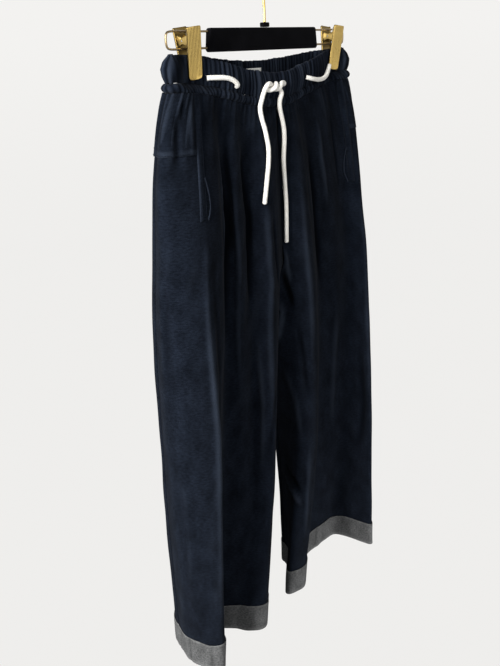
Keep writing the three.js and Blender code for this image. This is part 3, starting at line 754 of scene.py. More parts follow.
CREASES: dict[tuple[Side, Face], list[Crease]] = {
    (Side.RIGHT, Face.FRONT): [
        Crease((3.0, 3.0, 3.0), (-250, -600, -960), 7, 2.6),
        Crease((3.4, 3.5, 3.4), (-260, -520, -900), 9, -2.0),
        Crease((4.9, 5.0, 5.0), (-205, -330, -500), 9, -5.2),
        Crease((6.0, 6.0, 6.0), (-230, -400, -620), 7, 2.0),
        Crease((6.7, 6.95, 7.0), (-195, -320, -480), 8, -5.2),
        Crease((8.0, 8.0, 8.0), (-240, -420, -700), 8, 2.2),
        Crease((1.6, 1.7, 1.8), (-170, -205, -250), 6, -2.6),
        Crease((2.45, 2.4, 2.5), (-165, -200, -240), 5, 2.6),
        Crease((2.0, 1.9), (-165, -196), 4, -2.2),
        Crease((4.3, 4.7, 4.9), (-205, -300, -420), 6, 2.7),
        Crease((5.5, 5.4, 5.5), (-190, -280, -400), 6, -3.2),
        Crease((8.3, 8.6, 9.2), (-300, -380, -450), 6, -2.9),
        Crease((3.0, 2.9, 2.8), (-420, -600, -760), 9, 1.9),
        Crease((0.9, 1.2, 1.3), (-330, -420, -560), 10, -1.4),
        Crease((7.2, 7.4, 7.3), (-470, -600, -760), 8, 2.1),
        Crease((8.4, 7.9, 7.6), (-560, -640, -700), 7, -2.6),
        Crease((1.4, 1.6, 1.4), (-600, -740, -900), 9, 1.4),
        Crease((4.6, 4.4, 4.6), (-640, -780, -930), 8, 2.2),
    ],
    (Side.LEFT, Face.FRONT): [
        Crease((8.0, 7.7, 7.4), (-372, -410, -446), 8, 4.2),
        Crease((8.0, 7.6, 7.2), (-408, -440, -484), 6, -5.4),
        Crease((7.85, 7.6, 7.75), (-456, -488, -544), 9, 5.4),
        Crease((7.95, 7.65, 7.35), (-478, -486, -490), 3, -3.2),
        Crease((7.92, 7.65, 7.4), (-503, -510, -510), 3, -3.0),
        Crease((7.9, 7.2, 6.4), (-760, -778, -804), 6, -5.2),
        Crease((7.9, 7.2, 6.4), (-780, -798, -824), 7, 4.6),
        Crease((6.2, 6.2, 6.1), (-700, -800, -900), 7, 3.0),
        Crease((6.0, 6.0, 6.0), (-230, -420, -640), 8, 2.2),
        Crease((5.0, 5.0, 5.0), (-205, -330, -490), 9, -5.0),
        Crease((2.0, 2.0, 2.0), (-240, -520, -930), 8, 2.0),
        Crease((7.2, 6.8, 6.4), (-480, -560, -650), 6, -2.9),
        Crease((7.6, 7.2, 6.9), (-560, -640, -720), 7, 2.4),
        Crease((5.4, 5.5, 5.3), (-200, -300, -420), 6, -2.6),
        Crease((4.3, 4.4, 4.3), (-180, -260, -360), 7, 2.9),
        Crease((3.5, 3.4, 3.3), (-175, -260, -340), 6, -2.6),
        Crease((2.6, 2.5, 2.6), (-175, -240, -330), 6, 2.6),
        Crease((1.4, 1.5, 1.4), (-180, -240, -300), 5, -2.4),
        Crease((4.0, 4.1, 4.0), (-470, -600, -760), 10, 2.1),
        Crease((2.6, 2.4, 2.6), (-520, -700, -880), 10, -2.1),
        Crease((5.4, 5.3, 5.4), (-640, -760, -900), 8, 1.9),
    ],
    (Side.RIGHT, Face.BACK): [
        Crease((0.5, 0.6, 0.5), (-260, -360, -470), 8, 1.9),
        Crease((1.4, 1.5, 1.4), (-240, -330, -440), 8, -2.4),
        Crease((3.2, 3.4, 3.8), (-250, -360, -450), 8, 2.6),
        Crease((4.5, 4.2, 3.9), (-400, -470, -540), 7, -2.9),
        Crease((2.5, 2.6, 2.4), (-430, -560, -700), 10, 2.2),
        Crease((3.6, 3.3, 3.4), (-560, -690, -820), 9, -2.1),
        Crease((1.6, 1.5, 1.7), (-620, -760, -900), 9, 1.9),
    ],
    (Side.LEFT, Face.BACK): [
        Crease((0.6, 0.5, 0.6), (-250, -350, -460), 8, 1.9),
        Crease((1.5, 1.4, 1.6), (-240, -340, -450), 8, -2.4),
        Crease((3.3, 3.5, 3.7), (-260, -350, -440), 8, 2.6),
        Crease((4.4, 4.3, 3.8), (-410, -480, -550), 7, -2.9),
        Crease((2.4, 2.5, 2.6), (-440, -580, -720), 10, 2.2),
        Crease((3.5, 3.4, 3.2), (-580, -700, -840), 9, -2.1),
        Crease((1.5, 1.6, 1.5), (-600, -750, -880), 9, 1.9),
    ],
}


@dataclass(frozen=True)
class LegForm:
    """The outer face of the cloth, worked out from the fold lines.

    A place counts folds from 0 at the outseam to the last at the centre, and a share runs from 0 at
    the waist seam to 1 at the hem.
    """

    seam: float = -160.0
    hem: float = -981.0
    hip: float = -380.0
    knee: float = -680.0
    rise_turn: float = -400.0
    crotch: float = -510.0
    front_sag: float = 27.0
    back_sag: float = 12.0
    sag_half_span: float = 170.0
    centre_x: tuple[float, float] = (1.0, 6.0)
    centre_front_y: float = -17.0
    centre_back_y: tuple[float, float] = (20.0, 50.0)
    crotch_y: float = 21.0
    inseam_spread: tuple[float, float] = (-31.0, 46.0)
    inseam_back: float = 15.0
    inseam_early: float = 0.6
    seat_early: float = 1.3
    rise_curve: float = 1.2
    outseam_lean: float = 0.25
    walk_steps: int = 16

    def share_of(self, z: Array | float) -> Array | float:
        """How far down the leg a height lies."""
        return (self.seam - z) / (self.seam - self.hem)

    def sag(self, face: Face, x: Array) -> Array:
        """How far the waist has sunk between the clips."""
        depth = self.front_sag if face is Face.FRONT else self.back_sag
        return depth * np.cos(math.pi / 2 * clamp01(np.abs(x) / self.sag_half_span)) ** 2

    def along_levels(self, values: tuple, share: Array, flare: float = 1.8) -> Array:
        """A fold line's X or Y, eased through its four levels.

        Args:
            values: X or Y at the levels.
            share: Shares of the way down.
            flare: How fast it changes at the top.

        Returns:
            X or Y at each share.
        """
        levels = [self.share_of(z) for z in (self.seam, self.hip, self.knee, self.hem)]
        spans = [levels[i + 1] - levels[i] for i in range(3)]
        rates = [(values[i + 1] - values[i]) / spans[i] for i in range(3)]
        inner = [
            (rates[i - 1] * spans[i] + rates[i] * spans[i - 1]) / (spans[i - 1] + spans[i]) for i in (1, 2)
        ]
        slopes = [rates[0] * flare, *inner, rates[2]]
        result = np.zeros_like(share)
        for i in range(3):
            low = -np.inf if i == 0 else levels[i]
            high = np.inf if i == 2 else levels[i + 1]
            part = (share >= low) & (share < high)
            t = (share[part] - levels[i]) / spans[i]
            start, end = slopes[i] * spans[i], slopes[i + 1] * spans[i]
            result[part] = hermite(values[i], values[i + 1], start, end, t)
        return result

    def centre_edge(self, side: Side, face: Face, share: Array) -> tuple[Array, Array]:
        """Where a panel ends: the centre seam, then the inseam.

        Args:
            side: The leg's side.
            face: Its front or back panel.
            share: Shares of the way down.

        Returns:
            The places in plan, and which way the cloth runs there.
        """
        crotch, turn_share = self.share_of(self.crotch), self.share_of(self.rise_turn)
        turned = clamp01((share - turn_share) / (crotch - turn_share))
        down = clamp01(share / turn_share)
        back = lerp(*self.centre_back_y, smooth(self.seat_early * down))
        y = self.centre_front_y if face is Face.FRONT else back
        away = side.sign * GAP / 2
        across = lerp(*self.centre_x, down) + away
        above = np.stack([across, lerp(y, self.crotch_y, turned**self.rise_curve)], -1)
        below = clamp01((share - crotch) / (1 - crotch))
        reach = self.inseam_spread[side is Side.LEFT] * below * (1 + self.inseam_early * (1 - below))
        under = np.stack([self.centre_x[1] + away + reach, self.crotch_y + self.inseam_back * below], -1)
        point = np.where((share < crotch)[:, None], above, under)
        angle = math.pi / 2 * turned
        way = np.stack([-side.sign * np.cos(angle), face.sign * np.sin(angle)], -1)
        return point, way

    def fold_count(self, side: Side, face: Face) -> int:
        """The last place of a panel, at its centre edge."""
        return len(FOLDS[side, face]) + 1

    def points(self, side: Side, face: Face, places: Array, shares: Array) -> Array:
        """Points of the cloth.

        Args:
            side: The leg's side.
            face: Its front or back panel.
            places: Places across the panel.
            shares: Shares of the way down.

        Returns:
            Points with one row for each place and one column for each share.
        """
        folds = [OUTSEAM[side], *FOLDS[side, face]]
        knots = [
            np.stack([self.along_levels(f.x, shares, f.flare), self.along_levels(f.y, shares)], -1)
            for f in folds
        ]
        centre, centre_way = self.centre_edge(side, face, shares)
        knots = np.stack([*knots, centre])
        lengths = np.linalg.norm(np.diff(knots, axis=0), axis=-1)
        chords = np.diff(knots, axis=0) / lengths[..., None]
        outer = np.array([side.sign * self.outseam_lean * face.sign, -face.sign])
        ways = np.zeros_like(knots)
        ways[0] = outer / np.linalg.norm(outer)
        before, after = lengths[:-1, :, None], lengths[1:, :, None]
        ways[1:-1] = (chords[:-1] * after + chords[1:] * before) / (before + after)
        ways[-1] = centre_way
        span = np.minimum(len(knots) - 2, np.floor(places).astype(int))
        t = (places - span)[:, None, None]
        scale = lengths[span][..., None]
        plan = hermite(knots[span], knots[span + 1], ways[span] * scale, ways[span + 1] * scale, t)
        fade = clamp01(1 - shares / self.share_of(self.crotch)) ** 2
        height = lerp(self.seam, self.hem, shares)[None, :] - self.sag(face, plan[..., 0]) * fade
        return np.concatenate([plan, height[..., None]], -1)

    def normals(self, side: Side, face: Face, places: Array, points: Array) -> Array:
        """Outward directions of a grid of cloth points, whichever way its places run.

        Args:
            side: The leg's side.
            face: Its front or back panel.
            places: Places across the panel.
            points: The points.

        Returns:
            The directions.
        """
        across = np.gradient(points, axis=0)
        down = np.gradient(points, axis=1)
        outward = -side.sign * face.sign * np.sign(places[-1] - places[0])
        normal = np.cross(down, across) * outward
        return normal / np.linalg.norm(normal, axis=-1, keepdims=True)

    def girth(self, side: Side, face: Face, places: Array, shares: Array) -> Array:
        """How far each place lies from the outseam, measured along the cloth.

        Args:
            side: The leg's side.
            face: Its front or back panel.
            places: Places across the panel.
            shares: Shares of the way down.

        Returns:
            Distances with one row for each place and one column for each share.
        """
        last = self.fold_count(side, face)
        fine = np.linspace(0, last, last * self.walk_steps + 1)
        line = self.points(side, face, fine, shares)[..., :2]
        walked = run_of(line)
        at = np.clip(places * self.walk_steps, 0, len(fine) - 1)
        low = np.minimum(len(fine) - 2, np.floor(at).astype(int))
        return lerp(walked[low], walked[low + 1], (at - low)[:, None])


@dataclass(frozen=True)
class Relief:
    """The cloth's finer folds, as a rise off its form in millimetres.

    Args:
        form: The cloth's form.
        gather_width: The gathers' least and most half width, as shares of their pitch.
        gather_length: Their least and most length, as shares of their reach.
        gather_height: Their least and most height, as shares of their rise.
        seam_calm: How far from a seam the soft waves fade.
        soft_waves: The shortest and longest soft wave.
        crease_fade: The share of a crease over which each end fades.
    """

    form: LegForm
    gather_pitch: float = 7.0
    gather_rise: float = 3.2
    gather_reach: float = 130.0
    gather_stray: float = 0.3
    gather_width: tuple[float, float] = (0.22, 0.42)
    gather_length: tuple[float, float] = (0.25, 1.0)
    gather_height: tuple[float, float] = (0.35, 1.0)
    gather_opening: float = 1.6
    seam_dip: float = 1.1
    seam_width: float = 2.4
    seam_calm: float = 12.0
    softness: float = 0.5
    soft_waves: tuple[float, float] = (26.0, 110.0)
    crease_fade: float = 0.35

    def gathers(self, side: Side, face: Face, across: Array, down: Array) -> Array:
        """Uneven gathers that run out below the waist seam.

        Args:
            side: The leg's side.
            face: Its front or back panel.
            across: Places along the cloth from the outseam, in millimetres.
            down: Distance below the waist seam, in millimetres.

        Returns:
            The rise of each place.
        """
        dice = np.random.default_rng(11 + 2 * side.sign + (5 if face is Face.BACK else 0))
        width = across[-1]
        count = int(width[0] / self.gather_pitch)
        rise = np.zeros_like(across)
        for n in range(count):
            place = (n + 0.5 + dice.uniform(-self.gather_stray, self.gather_stray)) / count
            half = self.gather_pitch * dice.uniform(*self.gather_width)
            reach = self.gather_reach * dice.uniform(*self.gather_length) ** 1.5
            height = self.gather_rise * dice.uniform(*self.gather_height)
            spread = 1 + self.gather_opening * clamp01(down / self.gather_reach)
            offset = (across - place * width[None, :]) / (half * spread)
            rise += height * np.exp(-(offset**2)) * (1 - smooth(down / reach))
        return rise - 0.35 * self.gather_rise * (1 - smooth(down / self.gather_reach))

    def crease(self, crease: Crease, side: Side, face: Face, across: Array, heights: Array) -> Array:
        """One crease's rise.

        Args:
            crease: The crease.
            side: The leg's side.
            face: Its front or back panel.
            across: Distances from the outseam along the cloth.
            heights: Heights of the rows.

        Returns:
            The rise of each place.
        """
        places, levels = np.array(crease.places), np.array(crease.levels, dtype=float)
        shares = self.form.share_of(levels)
        route = self.form.girth(side, face, places, shares).diagonal()
        knots = np.stack([route, levels], -1)
        here = np.stack(np.broadcast_arrays(across, heights), -1)
        steps = np.linalg.norm(np.diff(knots, axis=0), axis=-1)
        total = steps.sum()
        nearest = np.full(across.shape, np.inf)
        run = np.zeros(across.shape)
        for i, step in enumerate(steps):
            way = (knots[i + 1] - knots[i]) / step
            t = np.clip((here - knots[i]) @ way, 0, step)
            distance = np.linalg.norm(here - knots[i] - t[..., None] * way, axis=-1)
            closer = distance < nearest
            nearest = np.where(closer, distance, nearest)
            run = np.where(closer, steps[:i].sum() + t, run)
        ends = smooth(np.minimum(run, total - run) / (self.crease_fade * total))
        bell = 0.5 * (1 + np.cos(math.pi * clamp01(nearest / crease.width)))
        return crease.height * bell * ends

    def rise(self, side: Side, face: Face, places: Array, shares: Array) -> tuple[Array, Array]:
        """The rise at each place.

        Args:
            side: The leg's side.
            face: Its front or back panel.
            places: Places across the panel.
            shares: Shares of the way down.

        Returns:
            The rise, and how far each place lies from the outseam along the cloth.
        """
        across = self.form.girth(side, face, places, shares)
        heights = lerp(self.form.seam, self.form.hem, shares)[None, :]
        down = self.form.seam - heights + np.zeros_like(across)
        rise = self.gathers(side, face, across, down)
        for crease in CREASES[side, face]:
            rise += self.crease(crease, side, face, across, heights)
        width = self.form.girth(side, face, np.array([float(self.form.fold_count(side, face))]), shares)
        edge = np.minimum(across, width - across)
        rise -= self.seam_dip * np.exp(-((edge / self.seam_width) ** 2))
        seed = 31 + 3 * side.sign + (7 if face is Face.BACK else 0)
        rise += self.softness * clouds(across, down, seed, *self.soft_waves) * smooth(edge / self.seam_calm)
        return rise, across


@dataclass
class Legs:
    """The four leg panels.

    Args:
        form: Where the cloth lies.
        relief: Its finer folds.
        finishes: The materials.
    """

    form: LegForm
    relief: Relief
    finishes: Finishes
    cloth: float = 1.6
    columns_per_fold: int = 14
    rows: int = 190
    top_crowding: float = 1.25

    def places(self, side: Side, face: Face) -> Array:
        """Places of the mesh's columns, from the outseam to the centre.

        Args:
            side: The leg's side.
            face: Its front or back panel.

        Returns:
            The places.
        """
        last = self.form.fold_count(side, face)
        steps = self.columns_per_fold if face is Face.FRONT else 2 * self.columns_per_fold - 6
        return np.linspace(0, last, last * steps + 1)

    def shares(self, start: float = 0.0, end: float = 1.0, rows: int | None = None) -> Array:
        """Shares of the mesh's rows, closer together near the waist."""
        return start + (end - start) * np.linspace(0, 1, rows or self.rows) ** self.top_crowding

    def surface(
        self, side: Side, face: Face, places: Array, shares: Array, out: float = 0.0
    ) -> tuple[Array, Array, Array]:
        """Points of the outer face, moved out, with their rise and UV.

        Args:
            side: The leg's side.
            face: Its front or back panel.
            places: Places across the panel.
            shares: Shares of the way down.
            out: How far off the cloth, in millimetres.

        Returns:
            The points, their rise, and their UV in millimetres.
        """
        points = self.form.points(side, face, places, shares)
        rise, across = self.relief.rise(side, face, places, shares)
        shifted = points + self.form.normals(side, face, places, points) * (rise + out)[..., None]
        sign = side.sign * face.sign
        down = lerp(self.form.seam, self.form.hem, shares)[None, :] + np.zeros_like(across)
        return shifted, rise, np.stack([sign * across, down], -1)

    def build(self) -> None:
        """Makes the panels."""
        for side in Side:
            for face in Face:
                places, shares = self.places(side, face), self.shares()
                points, rise, uv = self.surface(side, face, places, shares)
                flip = side.sign * face.sign < 0
                faces = grid_faces(len(places), len(shares), flip=flip)
                name = f"leg_{face.value}_{side.value}"
                piece = mesh_object(name, points, faces, self.finishes.navy, "navy_twill")
                paint_uv(piece, uv)
                shade_folds(piece, rise)
                thicken(piece, self.cloth, self.finishes.reverse)
                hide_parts(f"{face.value}_{side.value}")
                widest = float(self.form.girth(side, face, places, np.array([1.0])).max())
                length = self.form.seam - self.form.hem
                area = float(np.abs(np.diff(uv[..., 0], axis=0)).mean(axis=1).sum() * length)


# The waist


@dataclass(frozen=True)
class WaistLine:
    """The waist seam's line, walked evenly all round, and the band's pinch at the clips."""

    form: LegForm
    gathers: int = 128
    columns_per_gather: int = 8
    walk_steps: int = 40
    pinch_x: tuple[float, float] = (-138.0, 146.0)
    clip_pinch: float = 3.5
    clip_flat: float = 14.0
    clip_ease: float = 22.0
    band_top: float = -117.0
    band_height: float = 31.7
    ruffle_height: float = 10.7

    def pinch(self, x: Array) -> Array:
        """1 between a clip's jaws, easing to 0 beside them."""
        centre = np.where(x < 0, *self.pinch_x)
        return 1 - smooth((np.abs(x - centre) - self.clip_flat) / self.clip_ease)

    def walk(self) -> tuple[Array, Array]:
        """Points of the line, and 1 where a point is at the front.

        Returns:
            Plan points from the right outseam round the front, and the front marks.
        """
        per_quarter = self.gathers // 4 * self.columns_per_gather
        quarters = [
            (Side.RIGHT, Face.FRONT, False),
            (Side.LEFT, Face.FRONT, True),
            (Side.LEFT, Face.BACK, False),
            (Side.RIGHT, Face.BACK, True),
        ]
        plans, marks = [], []
        for side, face, backwards in quarters:
            last = self.form.fold_count(side, face)
            fine = np.linspace(0, last, last * self.walk_steps + 1)
            line = self.form.points(side, face, fine, np.array([0.0]))[:, 0, :2]
            walked = run_of(line)
            steps = np.arange(per_quarter) / per_quarter
            target = walked[-1] * (1 - steps if backwards else steps)
            plans.append(np.stack([np.interp(target, walked, line[:, k]) for k in (0, 1)], -1))
            marks.append(np.full(per_quarter, 1.0 if face is Face.FRONT else 0.0))
        return np.concatenate(plans), np.concatenate(marks)

    def level(self, plan: Array, front: Array, pinched: float) -> tuple[Array, Array]:
        """The line at one level of the band, and its outward directions.

        Args:
            plan: The waist line's points.
            front: The front marks.
            pinched: 1 where the clips hold the cloth flat, 0 where it is free.

        Returns:
            The points and the directions, in plan.
        """
        flat = np.where(front > 0, -self.clip_pinch, self.clip_pinch)
        line = plan.copy()
        line[:, 1] = lerp(plan[:, 1], flat, pinched * self.pinch(plan[:, 0]))
        along = np.roll(line, -1, axis=0) - np.roll(line, 1, axis=0)
        along /= np.linalg.norm(along, axis=-1, keepdims=True)
        return line, np.stack([along[:, 1], -along[:, 0]], -1)


@dataclass
class GatheredBand:
    """A ring of gathered cloth: the casing, or the narrow ruffle under it.

    Args:
        top: Its top edge's height at the clips.
        bulge: How far it swells between its edges.
        rise: The gathers' height.
        pinched: How much the clips flatten its top and its foot.
        corner: How squarely its edges turn.
        wander: How far a gather strays along the band, as a share of a gather.
        lean: How far a gather leans between the edges, as a share of a gather.
        lowest: The lowest gather's height, as a share of the highest.
        broad_every: Gathers to each broad fold.
        ragged: How far its edges rise and fall with the gathers.
        tuck: How far in the garment's sides stand, and how much further their top edge does.
        calm: How much the sides' broad folds take over from the close ones.
        calm_reach: Where along X the broad folds begin, and over how far they take over.
        side_reach: Where along X the garment's sides begin, and over how far they turn.
        inner_share: The gathers' height on the inner face, as a share of the outer.
    """

    line: WaistLine
    top: float
    height: float
    half_thickness: float
    bulge: float
    rise: float
    pinched: tuple[float, float]
    seed: int = 5
    around: int = 36
    corner: float = 5.0
    wander: float = 0.36
    lean: float = 0.55
    lowest: float = 0.3
    broad_every: float = 2.7
    ragged: float = 1.8
    tuck: tuple[float, float] = (2.5, 0.0)
    calm: float = 0.65
    calm_reach: tuple[float, float] = (118.0, 30.0)
    side_reach: tuple[float, float] = (150.0, 26.0)
    inner_share: float = 0.5

    def ridges(self, plan: Array, down: Array) -> Array:
        """The gathers' rise: close sharp ones between the clips, broad soft ones at the sides.

        Args:
            plan: The waist line's points.
            down: Heights down the band, from 0 at its top to 1 at its foot.

        Returns:
            One row for each column and one column for each height.
        """
        dice = np.random.default_rng(self.seed)
        count = self.line.gathers
        at = np.arange(len(plan))[:, None] / self.line.columns_per_gather
        knots = np.arange(count + 1)
        wander = dice.uniform(-self.wander, self.wander, count)
        lean = dice.uniform(-self.lean, self.lean, count)
        height = dice.uniform(self.lowest, 1.0, count)
        turn = at + np.interp(at, knots, np.append(wander, wander[0]))
        turn = turn + np.interp(at, knots, np.append(lean, lean[0])) * (down[None, :] - 0.5)
        fine = 1 - np.abs(2 * (turn % 1) - 1) ** 1.8
        fine *= np.interp(turn % count, knots, np.append(height, height[0]))
        sway = 0.4 * np.sin(at * 0.7) + 0.3 * (down[None, :] - 0.5)
        broad = 0.5 + 0.5 * np.cos(math.tau * (at / self.broad_every + sway))
        start, reach = self.calm_reach
        sides = smooth((np.abs(plan[:, 0]) - start) / reach)[:, None] * self.calm
        return fine * (1 - sides) + broad * (0.25 + 0.8 * sides)

    def build(self, name: str, material: Material, node: str) -> None:
        """Makes the ring, with its UV running along the line over its gathers.

        Args:
            name: The piece's name.
            material: Its finish.
            node: The solid it stands for.
        """
        plan, front = self.line.walk()
        columns = len(plan)
        angle = np.linspace(0, math.tau, self.around, endpoint=False)
        power = 2 / self.corner
        across = np.sign(np.cos(angle)) * np.abs(np.cos(angle)) ** power
        down = 0.5 - 0.5 * np.sign(np.sin(angle)) * np.abs(np.sin(angle)) ** power
        ridge = self.ridges(plan, down)
        start, reach = self.side_reach
        sides = smooth((np.abs(plan[:, 0]) - start) / reach)
        sag = np.where(front > 0, *(self.line.form.sag(face, plan[:, 0]) for face in Face))
        points = np.zeros((columns, self.around, 3))
        for j, (out_share, at) in enumerate(zip(across, down)):
            outer = out_share > 0
            held = lerp(*self.pinched, at)
            level, outward = self.line.level(plan, front, held)
            free = 1 - held * self.line.pinch(plan[:, 0])
            swell = self.bulge * (1 + 0.35 * sides) * math.sin(math.pi * lerp(0.05, 0.95, at))
            share = 1.0 if outer else self.inner_share
            puff = lerp(0.45, 1.0, math.sin(math.pi * lerp(0.06, 0.94, at)))
            out = free * (swell * outer + self.rise * share * puff * ridge[:, j] * np.sign(out_share))
            turned_in = self.tuck[0] + self.tuck[1] * max(0.0, 1 - at / 0.62) ** 2.4
            out += self.half_thickness * (out_share - 1) - turned_in * sides
            points[:, j, :2] = level + outward * out[:, None]
            edge = free * (ridge[:, j] - 0.5) * (2 * abs(at - 0.5)) ** 6 * -np.sign(at - 0.5)
            points[:, j, 2] = self.top - self.height * at - sag + edge * self.ragged
        faces = grid_faces(columns, self.around, ring=True, tube=True)
        piece = mesh_object(name, points, faces, material, "navy_band")
        outer = points[:, int(np.argmax(across - np.abs(down - 0.5)))]
        walked = np.cumsum(np.linalg.norm(np.roll(outer, -1, axis=0) - outer, axis=-1))
        uv = np.stack(np.broadcast_arrays(walked[:, None], (-self.height * down)[None, :]), -1)
        paint_uv(piece, uv)
        # Painted highlight on the gathers' ridges, partly wear, and painted shade in their valleys.
        paint(piece, "wear_and_highlight", 1.3 * (ridge - 0.45))
        paint(piece, "painted_shade", 1.0 - ridge / 0.5)
        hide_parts(node)


@dataclass
class Waist:
    """The gathered casing, the ruffle under it, and the blank label inside its back."""

    line: WaistLine
    finishes: Finishes
    casing_wall: float = 3.0
    label_width: float = 30.0
    label_height: float = 20.0
    label_tape: float = 0.6
    label_drop: float = 9.0
    label_centre: float = -7.0
    label_curl: float = 0.15

    def label(self) -> None:
        """Makes the label, a white tape sewn inside the back of the casing."""
        width, height = self.label_width, self.label_height
        columns, rows = 17, 13
        x = self.label_centre + np.linspace(-width / 2, width / 2, columns)
        down = np.linspace(0, 1, rows)
        form = self.line.form
        plan, front = self.line.walk()
        back = plan[front < 1]
        order = np.argsort(back[:, 0])
        y = np.interp(x, back[order, 0], back[order, 1]) - self.casing_wall - GAP - self.label_tape
        top = self.line.band_top - form.back_sag - self.label_drop
        points = np.zeros((columns, rows, 3))
        points[..., 0] = x[:, None]
        curl = np.cos(math.pi * (x / width + down[:, None])).T
        points[..., 1] = y[:, None] - self.label_curl * np.abs(curl)
        points[..., 2] = top - height * down[None, :]
        faces = grid_faces(columns, rows)
        piece = mesh_object("size_label", points, faces, self.finishes.tape, "white_label")
        paint_uv(piece, np.stack([points[..., 0], points[..., 2]], -1))
        thicken(piece, self.label_tape)
        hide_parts("label")

    def build(self) -> None:
        """Makes the casing, the ruffle and the label."""
        line = self.line
        casing = GatheredBand(
            line, line.band_top, line.band_height, half_thickness=1.6, bulge=2.6, rise=3.0,
            pinched=(1.0, 1.0), tuck=(2.5, 7.5),
        )
        casing.build("waist_casing", self.finishes.band, "waistband")
        ruffle = GatheredBand(
            line, line.band_top - line.band_height - GAP, line.ruffle_height, half_thickness=1.3, bulge=2.4,
            rise=2.4, pinched=(1.0, 0.0), around=18, corner=2.6, ragged=0.8, tuck=(0.5, 0.0), calm=0.0,
        )
        ruffle.build("waist_ruffle_strip", self.finishes.band, "waist_ruffle")
        self.label()


# Yokes, pockets and cuffs


